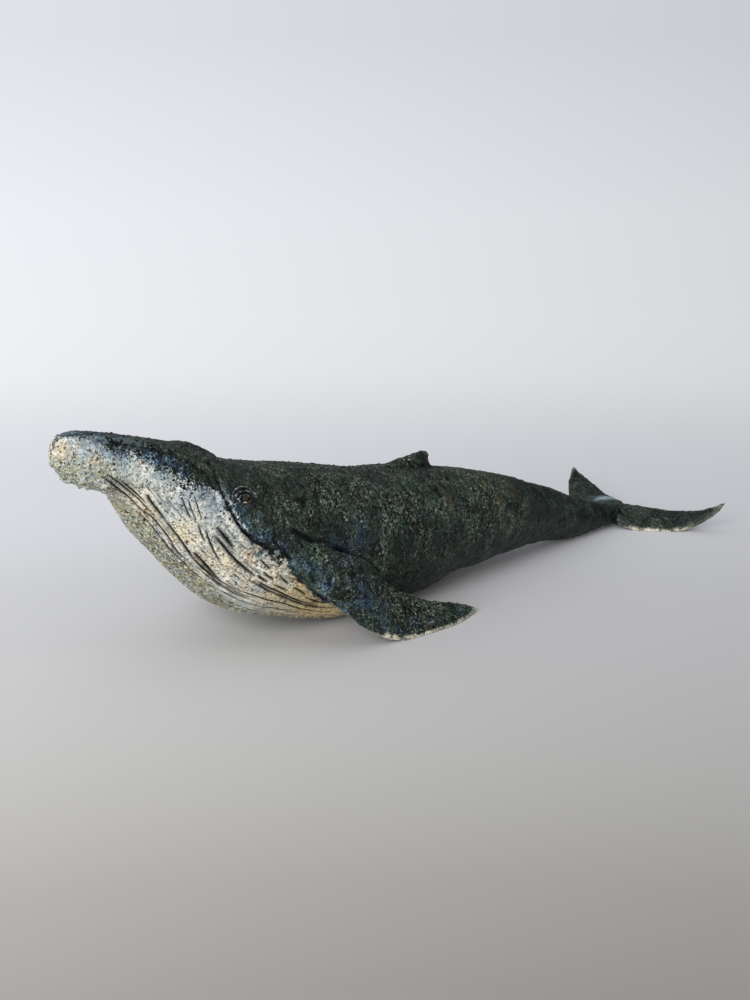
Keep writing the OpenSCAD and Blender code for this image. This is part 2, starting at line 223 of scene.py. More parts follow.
def evaluated_mesh(obj):
    bpy.context.view_layer.update()
    graph = bpy.context.evaluated_depsgraph_get()
    return bpy.data.meshes.new_from_object(obj.evaluated_get(graph))

# %% Build the tree that asks which piece is nearest
def ask_nearest_piece():
    tree, start, end = tree_with("ask_nearest_piece", [("Clay", "NodeSocketObject", None)])
    link = tree.links.new
    source = tree.nodes.new("GeometryNodeObjectInfo")
    owner = tree.nodes.new("GeometryNodeInputNamedAttribute")
    owner.data_type = "INT"
    owner.inputs["Name"].default_value = "piece"
    nearest = tree.nodes.new("GeometryNodeSampleNearestSurface")
    nearest.data_type = "INT"
    store = tree.nodes.new("GeometryNodeStoreNamedAttribute")
    store.data_type, store.domain = "INT", "FACE"
    store.inputs["Name"].default_value = "piece"
    island = tree.nodes.new("GeometryNodeInputMeshIsland")
    mark = tree.nodes.new("GeometryNodeStoreNamedAttribute")
    mark.data_type, mark.domain = "INT", "FACE"
    mark.inputs["Name"].default_value = "island"
    link(start.outputs["Clay"], source.inputs["Object"])
    link(source.outputs["Geometry"], nearest.inputs["Mesh"])
    link(owner.outputs["Attribute"], nearest.inputs["Value"])
    link(start.outputs["Geometry"], store.inputs["Geometry"])
    link(nearest.outputs["Value"], store.inputs["Value"])
    link(store.outputs["Geometry"], mark.inputs["Geometry"])
    link(island.outputs["Island Index"], mark.inputs["Value"])
    link(mark.outputs["Geometry"], end.inputs["Geometry"])
    return tree


NEAREST_PIECE = ask_nearest_piece()
print("nodes that ask:", len(NEAREST_PIECE.nodes))

# %% Lay one even skin over the joined pieces
SKIN_STEP = 0.85 * MM
skin_object = put_in_scene("skin", clay.copy())
remesh = skin_object.modifiers.new("even skin", "REMESH")
remesh.mode, remesh.voxel_size, remesh.adaptivity = "VOXEL", SKIN_STEP, 0
asking = skin_object.modifiers.new("which piece", "NODES")
asking.node_group = NEAREST_PIECE
modifier_input(asking, "Clay", clay_object)
fused = evaluated_mesh(skin_object)
for spent in (skin_object, clay_object):
    bpy.data.objects.remove(spent)
print("fused faces:", len(fused.polygons))

# %% Read the skin's faces, and drop crumbs that the remesh left apart
def quads_of(mesh):
    corners = np.empty(len(mesh.loops), np.int32)
    starts = np.empty(len(mesh.polygons), np.int32)
    totals = np.empty(len(mesh.polygons), np.int32)
    mesh.loops.foreach_get("vertex_index", corners)
    mesh.polygons.foreach_get("loop_start", starts)
    mesh.polygons.foreach_get("loop_total", totals)
    return corners[starts[:, None] + np.minimum(np.arange(4)[None, :], totals[:, None] - 1)]


island = read_attribute(fused, "island", np.int32)
piece_of = read_attribute(fused, "piece", np.int32)
keep = island == np.bincount(island).argmax()
quads, piece_of = quads_of(fused)[keep], piece_of[keep]
used, quads = np.unique(quads, return_inverse=True)
quads = quads.reshape(-1, 4)
skin = points_of(fused)[used]
bpy.data.meshes.remove(fused)
print("skin points:", len(skin), "faces:", len(quads), "left out:", int((~keep).sum()))
lap_time("one skin")

# %% [markdown]
# ## The body's own coordinates
# A potter thinks of a place on the whale as how far back it is and how far round it is, not as x,
# y and z. The body's outline is measured from the CAD pieces at stations along its length. After
# that each point of the skin has a share along the body (0 at the snout, 1 at the tail) and an
# angle round it (0 under the belly, 90 on the flank, 180 on the back).

# %% Measure the body and give each point its place
BODY_PIECES = ("trunk_shell", "tail_stock", "upper_jaw", "throat_shell")
FULLNESS = 2.4
BODY_LONG = 412 * MM
SNOUT_X = cad_box[0][0]
STATIONS = np.concatenate([np.linspace(0.0015, 0.06, 30), np.linspace(0.065, 0.9985, 220)])


def outline_at(x, triangles):
    low, high = triangles[:, :, 0].min(1), triangles[:, :, 0].max(1)
    crossing = triangles[(low < x) & (high > x)]
    found = []
    for i, j in ((0, 1), (1, 2), (2, 0)):
        a, b = crossing[:, i], crossing[:, j]
        over = (a[:, 0] - x) * (b[:, 0] - x) < 0
        a, b = a[over], b[over]
        found.append(a + (b - a) * ((x - a[:, 0]) / (b[:, 0] - a[:, 0]))[:, None])
    found = np.concatenate(found)
    return found[:, 2].min(), found[:, 2].max(), np.abs(found[:, 1]).max()


body_triangles = np.concatenate([points_of(cad[n].data)[triangles_of(cad[n].data)] for n in BODY_PIECES])
outline = np.array([outline_at(SNOUT_X + s * BODY_LONG, body_triangles) for s in STATIONS])


def ironed(values, width):
    weights = np.exp(-0.5 * (np.arange(-4 * width, 4 * width + 1) / width) ** 2)
    padded = np.pad(values, 4 * width, mode="reflect", reflect_type="odd")
    return np.convolve(padded, weights / weights.sum(), mode="valid")


outline[30:] = np.stack([ironed(outline[30:, k], 2) for k in range(3)], 1)


def along(points):
    return (points[:, 0] - SNOUT_X) / BODY_LONG


def section(s):
    low = np.interp(s, STATIONS, outline[:, 0])
    high = np.interp(s, STATIONS, outline[:, 1])
    return low, high, np.interp(s, STATIONS, outline[:, 2])


def round_angle(points):
    low, high, half = section(along(points))
    up = (points[:, 2] - (low + high) / 2) / ((high - low) / 2)
    out = np.abs(points[:, 1]) / half
    power = FULLNESS / 2
    return np.degrees(np.arctan2(out**power, -np.sign(up) * np.abs(up) ** power))


def skin_place(s, angle, side=-1):
    low, high, half = section(np.asarray(s, float))
    a = np.radians(np.asarray(angle, float))
    out = np.abs(np.sin(a)) ** (2 / FULLNESS)
    up = -np.sign(np.cos(a)) * np.abs(np.cos(a)) ** (2 / FULLNESS)
    x = SNOUT_X + np.asarray(s, float) * BODY_LONG
    return np.stack([x, side * half * out, (low + high) / 2 + (high - low) / 2 * up], -1)


print("widest half width:", round(outline[:, 2].max() / MM, 1), "mm")

# %% [markdown]
# ## Smoothing wet clay
# A thumb drawn over clay moves each point toward the middle of its neighbours. That is what these
# helpers do, with a weight for each point, so that the trunk comes out smooth, the thin fins keep
# their edges, and the joints between pieces are rubbed in.

# %% Helpers for smoothing
def sides_of(faces):
    return np.concatenate([faces[:, [k, (k + 1) % 4]] for k in range(4)])


def edges_of(faces):
    pairs = sides_of(faces)
    pairs = pairs[pairs[:, 0] != pairs[:, 1]]
    return np.unique(np.sort(pairs, axis=1), axis=0)


def to_neighbours(values, pairs):
    count = len(values)
    columns = values.reshape(count, -1)
    a, b = pairs[:, 0], pairs[:, 1]
    share = np.bincount(a, minlength=count) + np.bincount(b, minlength=count)
    out = np.empty_like(columns)
    for k in range(columns.shape[1]):
        v = columns[:, k]
        out[:, k] = (np.bincount(a, v[b], count) + np.bincount(b, v[a], count)) / share - v
    return out.reshape(values.shape)


def spread(values, pairs, times):
    for _ in range(times):
        values = values + 0.6 * to_neighbours(values, pairs)
    return values


def rubbed(points, pairs, weight, times, hold=True):
    for _ in range(times):
        points = points + 0.6 * weight[:, None] * to_neighbours(points, pairs)
        if hold:
            points = points - 0.62 * weight[:, None] * to_neighbours(points, pairs)
    return points


def normals_of(points, faces):
    a, b, c, d = (points[faces[:, k]] for k in range(4))
    n = np.cross(c - a, d - b)
    out = np.zeros_like(points)
    for k in range(4):
        for axis in range(3):
            out[:, axis] += np.bincount(faces[:, k], n[:, axis], len(points))
    return out / np.maximum(np.linalg.norm(out, axis=1), 1e-20)[:, None]


def points_on(names):
    wanted = np.isin(piece_of, [PIECES.index(n) for n in names])
    flags = np.zeros(len(skin), bool)
    flags[quads[wanted].ravel()] = True
    return flags

# %% Iron the body, rub the fins and blend the joints
pairs = edges_of(quads)
body_point = points_on(BODY_PIECES) & ~points_on([n for n in PIECES if n not in BODY_PIECES])
s_of = along(skin)
low, high, half = section(s_of)
middle, deep = (low + high) / 2, (high - low) / 2
level = (np.abs(skin[:, 1]) / half) ** FULLNESS + (np.abs(skin[:, 2] - middle) / deep) ** FULLNESS
pull = np.clip((s_of - 0.02) / 0.03, 0, 1) * np.clip((0.995 - s_of) / 0.01, 0, 1)
pull = pull * body_point * (skin[:, 2] > 1.5 * MM) * (np.abs(level - 1) < 0.35)
factor = 1 + pull * (np.maximum(level, 0.05) ** (-1 / FULLNESS) - 1)
skin[:, 1] *= factor
skin[:, 2] = middle + (skin[:, 2] - middle) * factor

weight = np.where(body_point, 1.0, 0.75)
weight[points_on([n for n in PIECES if "lid" in n or "lip" in n or "snout" in n])] = 0.35
skin = rubbed(skin, pairs, spread(weight, pairs, 3), 14)
seam = np.zeros(len(skin))
for name in ("left_flipper", "right_flipper", "left_fluke", "right_fluke", "dorsal_fin", "blowhole_crest"):
    mine = points_on([name])
    other = points_on([n for n in PIECES if n != name])
    seam[mine & other] = 1
seam = np.clip(spread(seam, pairs, 14) * 3, 0, 1)
skin = rubbed(skin, pairs, seam, 16, hold=False)
tip = points_on(["left_flipper", "right_flipper"]) * (skin[:, 0] > -16 * MM)
skin = rubbed(skin, pairs, spread(tip.astype(float), pairs, 2), 4, hold=False)
lap_time("smoothed")

# %% [markdown]
# ## Pleats and gouges
# A humpback's throat folds into long pleats. The potter drew them with a loop tool and a pin while
# the clay was leather hard, so some are long sweeping grooves and some are short cuts. Each one is
# a short list of places on the body (share along, angle round), with a width and a depth in
# millimetres. Both sides get the same set, and the far side is shifted a little.

# %% Where the tool went
PLEATS = [
    (0.85, 0.75, [(0.042, 70), (0.053, 58), (0.065, 46), (0.080, 34), (0.092, 31), (0.104, 33)]),
    (0.60, 0.50, [(0.047, 76), (0.059, 67), (0.069, 58), (0.080, 50), (0.092, 46), (0.104, 44)]),
    (0.50, 0.40, [(0.062, 72), (0.072, 63), (0.083, 56), (0.095, 51)]),
    (0.90, 0.90, [(0.092, 68), (0.096, 61), (0.103, 57), (0.110, 54), (0.117, 53)]),
    (1.00, 1.00, [(0.108, 55), (0.117, 52), (0.128, 48), (0.140, 41), (0.152, 36), (0.164, 34),
                  (0.176, 35), (0.190, 38), (0.204, 41)]),
    (0.80, 0.75, [(0.086, 26), (0.094, 33), (0.104, 38), (0.114, 38), (0.124, 35), (0.136, 30)]),
    (0.80, 0.75, [(0.092, 20), (0.104, 24), (0.116, 25), (0.128, 23), (0.142, 20), (0.156, 18),
                  (0.172, 19), (0.190, 23)]),
    (1.10, 1.10, [(0.126, 31), (0.136, 27), (0.146, 25)]),
    (1.25, 1.50, [(0.146, 45), (0.154, 42), (0.164, 39), (0.174, 37), (0.186, 36)]),
    (0.70, 0.70, [(0.150, 38), (0.164, 34), (0.180, 33), (0.196, 36), (0.210, 40), (0.224, 45)]),
    (0.70, 0.60, [(0.158, 30), (0.172, 30), (0.188, 32), (0.206, 36), (0.222, 41)]),
    (1.30, 1.40, [(0.162, 85), (0.172, 81), (0.183, 77)]),
    (0.95, 0.95, [(0.158, 79), (0.166, 75), (0.176, 71), (0.188, 68), (0.200, 67), (0.214, 66)]),
    (0.55, 0.50, [(0.150, 77), (0.155, 70), (0.163, 62), (0.174, 56)]),
    (0.50, 0.45, [(0.142, 78), (0.146, 71), (0.153, 64)]),
    (0.45, 0.40, [(0.125, 92), (0.129, 86), (0.134, 79)]),
    (0.40, 0.35, [(0.131, 93), (0.135, 87), (0.140, 80)]),
    (0.40, 0.35, [(0.138, 96), (0.142, 90), (0.146, 84)]),
    (0.95, 0.95, [(0.206, 59), (0.222, 60), (0.240, 58), (0.258, 55), (0.278, 50), (0.300, 46),
                  (0.325, 44), (0.355, 46)]),
    (0.70, 0.70, [(0.214, 63), (0.230, 62), (0.248, 60), (0.268, 55), (0.292, 50), (0.320, 47)]),
    (0.60, 0.55, [(0.196, 41), (0.212, 45), (0.228, 48), (0.246, 48), (0.268, 46), (0.294, 41),
                  (0.322, 38), (0.350, 39)]),
    (0.60, 0.50, [(0.186, 26), (0.206, 30), (0.228, 35), (0.252, 37), (0.280, 35), (0.310, 32)]),
    (0.60, 0.50, [(0.120, 9), (0.150, 8), (0.185, 10), (0.220, 14), (0.260, 17), (0.300, 17)]),
    (0.55, 0.45, [(0.205, 20), (0.235, 25), (0.265, 27), (0.300, 25), (0.335, 26)]),
    (0.70, 0.60, [(0.216, 81), (0.224, 79), (0.232, 77)]),
    (0.75, 0.65, [(0.222, 73), (0.230, 71), (0.238, 70)]),
    (0.70, 0.60, [(0.215, 68), (0.223, 67), (0.231, 66)]),
    (0.75, 0.65, [(0.245, 74), (0.253, 71), (0.261, 68)]),
    (0.60, 0.50, [(0.238, 66), (0.250, 64), (0.262, 62)]),
    (0.60, 0.50, [(0.268, 66), (0.280, 63), (0.292, 59)]),
    (0.55, 0.45, [(0.290, 57), (0.310, 53), (0.330, 51)]),
]


def drawn(track, side, shift=0.0):
    """The smooth path of one stroke on the skin, and how far along the stroke each point of it is."""
    s, a = np.array(track).T
    t = np.linspace(0, 1, len(s))
    fine = np.linspace(0, 1, 24 * len(s))
    bend = [np.interp(fine, t, v) for v in (s, a)]
    width = max(len(s), 4)
    even = np.ones(2 * width + 1) / (2 * width + 1)
    s, a = (np.convolve(np.pad(v, width, mode="edge"), even, "valid") for v in bend)
    return skin_place(s + 0.4 * shift / 100, a + shift, side), fine

# %% [markdown]
# ## Folds and blowholes
# Behind each flipper the body folds in a soft deep crease, which the potter pressed with a thumb.
# Two short slits on the crest are the blowholes, cut with the pin.

# %% Press the creases and cut the blowholes
FOLDS = [
    (2.3, 1.5, [(0.312, 95), (0.330, 91), (0.351, 89), (0.371, 86), (0.389, 79), (0.406, 70), (0.428, 64)]),
    (1.5, 0.6, [(0.262, 104), (0.275, 100), (0.290, 97), (0.306, 96)]),
    (1.3, 0.5, [(0.228, 96), (0.240, 92), (0.256, 87), (0.274, 82), (0.292, 79)]),
]
BLOWHOLE = [(-137.0, 1.1), (-134.0, 1.9), (-130.5, 3.0)]


def on_top(x, y):
    near = (np.abs(skin[:, 0] - x) < 1.2 * MM) & (np.abs(skin[:, 1] - y) < 1.2 * MM)
    return skin[near, 2].max()


def blowhole_path(side):
    x, y = np.array(BLOWHOLE).T
    t = np.linspace(0, 1, 24)
    x, y = np.interp(t * 2, [0, 1, 2], x) * MM, np.interp(t * 2, [0, 1, 2], y) * MM * side
    return np.stack([x, y, [on_top(a, b) for a, b in zip(x, y)]], 1), t


print("blowhole height:", round(blowhole_path(1)[0][:, 2].max() / MM, 1), "mm")

# %% [markdown]
# ## The run of the pleats
# Fine scratches and rows of dots follow the pleats, and a texture can only follow them if it knows
# their direction everywhere. So two smooth sheets are fitted over the throat: one climbs by a
# millimetre for each millimetre along the pleats, and the other for each millimetre across them.
# Least squares finds the sheets from the directions of the pleats in the table.

# %% Fit coordinates that follow the pleats
DEGREE_WIDE = 0.66 * MM


def sheet_terms(s, a):
    x, y = (np.asarray(s) - 0.19) / 0.16, (np.asarray(a) - 55) / 45
    powers = [(i, j) for i in range(5) for j in range(5) if 0 < i + j < 5]
    value = np.stack([x**i * y**j for i, j in powers], -1)
    by_x = np.stack([i * x ** max(i - 1, 0) * y**j for i, j in powers], -1) / (0.16 * BODY_LONG)
    by_y = np.stack([j * x**i * y ** max(j - 1, 0) for i, j in powers], -1) / (45 * DEGREE_WIDE)
    return value, by_x, by_y


tracks = [np.array(track) for _, _, track in PLEATS if len(track) > 3]
start = np.concatenate([t[:-1] for t in tracks])
step = np.concatenate([t[1:] for t in tracks]) - start
middle_place = start + step / 2
heading = step * [BODY_LONG, DEGREE_WIDE]
heading /= np.linalg.norm(heading, axis=1)[:, None]
_, by_x, by_y = sheet_terms(*middle_place.T)
run = heading[:, :1] * by_x + heading[:, 1:] * by_y
rise_across = -heading[:, 1:] * by_x + heading[:, :1] * by_y
calm = 1e-3 * np.eye(run.shape[1]) / MM
slopes = np.concatenate([run, rise_across, calm])
ones, nothing, still = np.ones(len(run)), np.zeros(len(run)), np.zeros(len(calm))
along_pleats = np.linalg.lstsq(slopes, np.concatenate([ones, nothing, still]), rcond=None)[0]
across_pleats = np.linalg.lstsq(slopes, np.concatenate([nothing, ones, still]), rcond=None)[0]
print("slope along the pleats:", np.round(np.percentile(run @ along_pleats, [10, 50, 90]), 2))
print("slope across them:", np.round(np.percentile(rise_across @ across_pleats, [10, 50, 90]), 2))

# %% [markdown]
# ## Finer clay where the tool cuts
# A groove a millimetre wide needs points closer than three quarters of a millimetre. Only the
# faces near a groove, the mouth or an eye are cut in four, which keeps the rest light.

# %% Find the mouth line, and measure how far each point is from it
from mathutils import kdtree

UPPER = ("trunk_shell", "upper_jaw", "blowhole_crest", "snout_tubercles", "left_eyelids", "right_eyelids")
LOWER = ("throat_shell", "left_lower_lip", "right_lower_lip", "chin_tubercles")
MOUTH_END = 0.262
mouth = skin[points_on(UPPER) & points_on(LOWER) & (s_of < MOUTH_END) & (skin[:, 2] > 20 * MM)]


def distance_to(points, cloud, reach):
    tree = kdtree.KDTree(len(cloud))
    for k, p in enumerate(cloud):
        tree.insert(p, k)
    tree.balance()
    out = np.full(len(points), 1.0)
    low, high = cloud.min(0) - reach, cloud.max(0) + reach
    near = np.nonzero(((points > low) & (points < high)).all(1))[0]
    out[near] = [tree.find(points[k])[2] for k in near]
    return out


print("mouth points:", len(mouth))

# %% Draw every stroke on both sides, and mark the faces near them
FAR_SIDE_SHIFT = 1.6
SIDES = {-1: "left", 1: "right"}
strokes = []
for side, shift in ((-1, 0.0), (1, FAR_SIDE_SHIFT)):
    for wide, deep_cut, track in PLEATS + FOLDS:
        path, t = drawn(track, side, shift)
        strokes.append((wide * MM, deep_cut * MM, path, t))
    path, t = blowhole_path(side)
    strokes.append((0.75 * MM, 1.3 * MM, path, t))
fine_strokes = [path for wide, _, path, _ in strokes if wide < 1.45 * MM]
every_stroke = np.concatenate(fine_strokes + [mouth])
EYES = {side: sum(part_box(f"{name}_eye"), Vector()) / 2 for side, name in SIDES.items()}
close = distance_to(skin, every_stroke, 3 * MM) < 1.6 * MM
for centre in EYES.values():
    close |= np.linalg.norm(skin - np.array(centre), axis=1) < 11 * MM
fine_faces = close[quads].any(1)
print("strokes:", len(strokes), "faces to refine:", int(fine_faces.sum()))

# %% Cut the marked faces in four
def refined(points, faces, owner, chosen):
    mesh = bpy.data.meshes.new("coarse")
    mesh.from_pydata(points, [], faces)
    write_attribute(mesh, "piece", owner, "FACE", "INT")
    work = bmesh.new()
    work.from_mesh(mesh)
    work.faces.ensure_lookup_table()
    edges = {e for k in np.nonzero(chosen)[0] for e in work.faces[k].edges}
    bmesh.ops.subdivide_edges(work, edges=sorted(edges, key=lambda e: e.index), cuts=1, use_grid_fill=True)
    bmesh.ops.triangulate(work, faces=[f for f in work.faces if len(f.verts) > 4])
    work.to_mesh(mesh)
    work.free()
    result = points_of(mesh), quads_of(mesh), read_attribute(mesh, "piece", np.int32)
    bpy.data.meshes.remove(mesh)
    return result


skin, quads, piece_of = refined(skin, quads, piece_of, fine_faces)
pairs = edges_of(quads)
s_of = along(skin)
angle = round_angle(skin)
print("refined points:", len(skin), "faces:", len(quads))
lap_time("refined")

# %% [markdown]
# ## Soft noise and soft steps
# Three small functions shape everything from here on. `cloud` is a noise worked out from the place
# alone, so it never changes from run to run. `bump` is a soft hill and `ramp` a soft step.

# %% Helpers for soft shapes
def cloud(points, size, seed):
    """Soft noise from -1 to 1 with lumps of that size, always the same for the same seed."""
    q = points / size + 500.0
    cell = np.floor(q).astype(np.int64)
    f = q - cell
    f = f * f * (3 - 2 * f)
    out = np.zeros(len(points))
    for corner in range(8):
        step = np.array([corner & 1, corner >> 1 & 1, corner >> 2 & 1])
        c = cell + step
        h = (c[:, 0] * 73856093) ^ (c[:, 1] * 19349663) ^ (c[:, 2] * 83492791) ^ (seed * 2654435761)
        h = (h ^ (h >> 13)) * 1274126177 & 0x7FFFFFFF
        h = (h ^ (h >> 16)) & 0xFFFFF
        out += np.prod(np.where(step, f, 1 - f), axis=1) * (h / 0x7FFFF - 1)
    return out


def bump(x):
    return np.exp(-np.square(x))


def ramp(x, low, high):
    t = np.clip((x - low) / (high - low), 0, 1)
    return t * t * (3 - 2 * t)

# %% [markdown]
# ## Carving
# Every stroke pushes the skin in along its normal. A pin throws up a small burr on each side of
# its groove, and it starts and ends gently. The same strokes fill a stain mask, because a dark wash
# stays in the grooves when the potter wipes it off the high places.

# %% Cut the strokes
normal = normals_of(skin, quads)
cut = np.zeros(len(skin))
stain, dell = np.zeros(len(skin)), np.zeros(len(skin))
for number, (wide, deep_cut, path, t) in enumerate(strokes):
    reach = 4 * wide
    low, high = path.min(0) - reach, path.max(0) + reach
    near = np.nonzero(((skin > low) & (skin < high)).all(1))[0]
    gap = np.linalg.norm(skin[near, None, :] - path[None, :, :], axis=2)
    place = gap.argmin(1)
    gap, here = gap.min(1), t[place]
    press = np.clip(np.sin(np.pi * here), 0, 1) ** 0.45
    press = press * (0.85 + 0.3 * cloud(skin[near], 6 * MM, 40 + number))
    groove = (bump(gap / (0.85 * wide)) * 1.15 + bump(gap / (2.1 * wide)) * 0.25) * (gap < reach)
    groove = groove * deep_cut * press
    burr = bump((gap - 1.9 * wide) / (0.7 * wide)) * 0.3 * deep_cut * press
    cut[near] = np.maximum(cut[near], groove) - burr * (groove < 0.2 * deep_cut)
    stain[near] = np.maximum(stain[near], np.clip(1.5 * bump(gap / (0.72 * wide)) * press, 0, 1))
    dell[near] = np.maximum(dell[near], bump(gap / (2.4 * wide)) * press)
print("points in a stroke:", int((stain > 0.5).sum()))

# %% Cut the mouth and the crease behind each flipper
mouth_gap = distance_to(skin, mouth, 9 * MM)
flank = ramp(s_of, 0.155, 0.172) * (1 - ramp(s_of, 0.195, 0.235))
mouth_deep = (0.7 + 1.0 * flank) * MM * ramp(s_of, 0.004, 0.03) * (1 - ramp(s_of, 0.215, 0.255))
mouth_wide = (0.55 + 0.2 * flank) * MM
cut += bump(mouth_gap / mouth_wide) * mouth_deep
mouth_stain = bump(mouth_gap / (1.05 * mouth_wide)) * ramp(mouth_deep, 0, 0.6 * MM)
upper_side = spread(points_on(UPPER).astype(float), pairs, 2)
cut -= bump((mouth_gap - 3.2 * MM) / (2.0 * MM)) * flank * upper_side * 0.45 * MM

# The crease behind each flipper is pressed in here. Later it also darkens the groove colour as painted
# shadow, where the flipper shades the body.
fin_line = points_on(["left_flipper", "right_flipper"]) & points_on(["trunk_shell", "throat_shell"])
fin_crease_and_shadow = np.clip(spread(fin_line.astype(float), pairs, 12) * 2.6, 0, 1) * ramp(s_of, 0.32, 0.36)
cut += fin_crease_and_shadow * points_on(BODY_PIECES) * 0.7 * MM
print("points in the mouth:", int((mouth_stain > 0.5).sum()))

# %% [markdown]
# ## The eye sockets
# Round each eye the potter pressed a slit between two rolled lids, two arcs above it and a bag
# below, all with the same wooden tool. Each of them is a soft ellipse drawn round the eye's middle,
# in coordinates that lean back a little. The slit lets the eyeball, made later, look through.

# %% Press the lids, the arcs and the slit
EYE_LEAN = math.radians(-8)
eye_fold, eye_near, lid_pale, lid_gold, painted_arc_highlight = (np.zeros(len(skin)) for _ in range(5))


def ring(wide, high, up, soft):
    r = np.sqrt((ex / wide) ** 2 + ((ez - up * MM) / high) ** 2) / MM
    return near * bump((r - 1) / soft)


for side, centre in EYES.items():
    dx, dz = skin[:, 0] - centre.x, skin[:, 2] - centre.z
    near = (np.abs(dx) < 13 * MM) & (np.abs(dz) < 11 * MM) & (skin[:, 1] * side > 0)
    ex = dx * math.cos(EYE_LEAN) + dz * math.sin(EYE_LEAN)
    ez = dz * math.cos(EYE_LEAN) - dx * math.sin(EYE_LEAN)
    slit = (np.abs(ex) / (4.0 * MM)) ** 1.6 + (np.abs(ez) / (0.66 * MM)) ** 1.6
    above = ramp(ez, -0.6 * MM, 1.2 * MM)
    lids = ring(4.8, 1.5, 0.0, 0.28)
    low_lid = ring(5.4, 2.8, -0.5, 0.22) * (1 - above)
    # A painted highlight on the ridges beside the arcs above the eye; it is laid on later with the lip's
    # highlight.
    arc_highlight = np.maximum(ring(6.5, 3.3, 0.4, 0.07), 0.8 * ring(7.9, 4.7, 0.7, 0.06)) * above
    crease = ring(5.8, 2.6, 0.2, 0.10) * (0.45 + 0.55 * above)
    outer_arc = 0.6 * ring(8.6, 5.5, 0.9, 0.06) * above * ramp(-ex, -5 * MM, 1 * MM)
    upper_arcs = ring(7.2, 4.0, 0.6, 0.07) * above + outer_arc
    bag = ring(7.4, 4.3, -0.3, 0.08) * (1 - above) * ramp(-ex, -7 * MM, 0)
    spokes = np.sin(np.arctan2(ez, ex) * 21) * ring(5.4, 3.2, -0.3, 0.35) * 0.2 * (1 - above)
    cut += near * (1 - ramp(slit, 0.7, 1.3)) * 1.9 * MM
    cut += (0.5 * crease + 0.34 * upper_arcs + 0.25 * bag + spokes - 0.5 * lids) * MM
    eye_fold = np.maximum(eye_fold, np.maximum(0.9 * crease, 0.8 * upper_arcs))
    eye_fold = np.maximum(eye_fold, near * (1 - ramp(slit, 0.7, 1.1)))
    eye_fold = np.maximum(eye_fold, 0.7 * low_lid * (spokes > 0.07))
    eye_near = np.maximum(eye_near, near * (1 - ramp(np.hypot(ex / 6.4, ez / 4.6) / MM, 1.0, 1.7)))
    fore = ramp(-ex, -1.5 * MM, 2.5 * MM)
    lid_pale = np.maximum(lid_pale, lids * fore * 0.9)
    lid_gold = np.maximum(lid_gold, np.maximum(lids * (1 - fore) * (1 - 0.5 * above), 0.4 * low_lid))
    painted_arc_highlight = np.maximum(painted_arc_highlight, arc_highlight)
lap_time("carved")

# %% [markdown]
# ## Hand marks and grog
# No hand-built surface is even. Broad soft lumps come from the fingers, and the small sharp ones
# from grog, the crushed fired clay in the body, which the glaze barely covers. The crust is
# coarsest on the back and along the keel of the throat, and nearly gone where the glaze ran thick.

# %% Find where the clay is coarse, and how it was combed
fin_point = spread(points_on([n for n in PIECES if "flipper" in n or "fluke" in n]).astype(float), pairs, 2)
throat_point = spread(points_on(LOWER).astype(float), pairs, 3)
keel = throat_point * (1 - ramp(angle, 14, 30)) * ramp(s_of, 0.06, 0.10)
chin = throat_point * (1 - ramp(s_of, 0.045, 0.085)) * (1 - ramp(angle, 60, 110))
coarse = 0.85 + 0.35 * ramp(s_of, 0.2, 0.35) - 0.25 * throat_point + 1.3 * keel + 0.5 * chin
coarse = coarse * (1 - 0.75 * eye_near) * (1 - 0.6 * bump(mouth_gap / (2.5 * MM)))
coarse = coarse * (1 - 0.8 * np.clip(stain, 0, 1))
terms = sheet_terms(np.clip(s_of, 0.02, 0.42), np.clip(angle, 0, 110))[0]
flow = np.stack([terms @ along_pleats, terms @ across_pleats, 0.02 * np.sign(skin[:, 1])], 1)
combed = throat_point * (1 - ramp(angle, 74, 92)) * ramp(s_of, 0.045, 0.07) * ramp(angle, 20, 32)
wander = flow[:, 1] + cloud(skin, 14 * MM, 6) * 2.2 * MM
comb_marks = np.sin(2 * np.pi * wander / (3.6 * MM)) + 0.5 * np.sin(2 * np.pi * wander / (2.3 * MM))
comb_marks = comb_marks * combed * (0.6 + 0.5 * cloud(skin, 9 * MM, 7)) * (1 - np.clip(dell, 0, 1))
print("combed points:", int((combed > 0.5).sum()))

# %% Uneven the skin, flatten the foot and stay inside the CAD box
INSIDE_BOX = 0.02 * MM
hand = cloud(skin, 24 * MM, 1) * 0.35 + cloud(skin, 10 * MM, 2) * 0.22
grog = cloud(skin, 3.1 * MM, 3) * 0.16 + np.maximum(cloud(skin, 1.9 * MM, 4), -0.2) * 0.30
grog += np.maximum(cloud(skin, 1.25 * MM, 5) - 0.25, 0) * 0.30
rise = (hand * (1 - 0.4 * fin_point) + (grog - 0.06) * coarse + 0.2 * comb_marks) * MM
sculpted = skin + normal * (rise - cut)[:, None]
standing = (skin[:, 2] < 0.35 * MM) & (normal[:, 2] < -0.8)
sculpted[standing, 2] = 0
lowest = np.array(cad_box[0]) + [INSIDE_BOX, INSIDE_BOX, 0]
sculpted = np.clip(sculpted, lowest, np.array(cad_box[1]) - INSIDE_BOX)
print("deepest cut:", round(cut.max() / MM, 2), "mm; standing points:", int(standing.sum()))
lap_time("sculpted")

# %% [markdown]
# ## Where each glaze lies
# The potter brushed three things on: a dark green-black slip over the back and fins, a pale slip
# over the throat, and blobs of cobalt that ran into the low places. The border between dark and
# pale is a line of places on the body. Each glaze becomes a mask, one number for each point, which
# the materials read later. Soft noise frays every border.

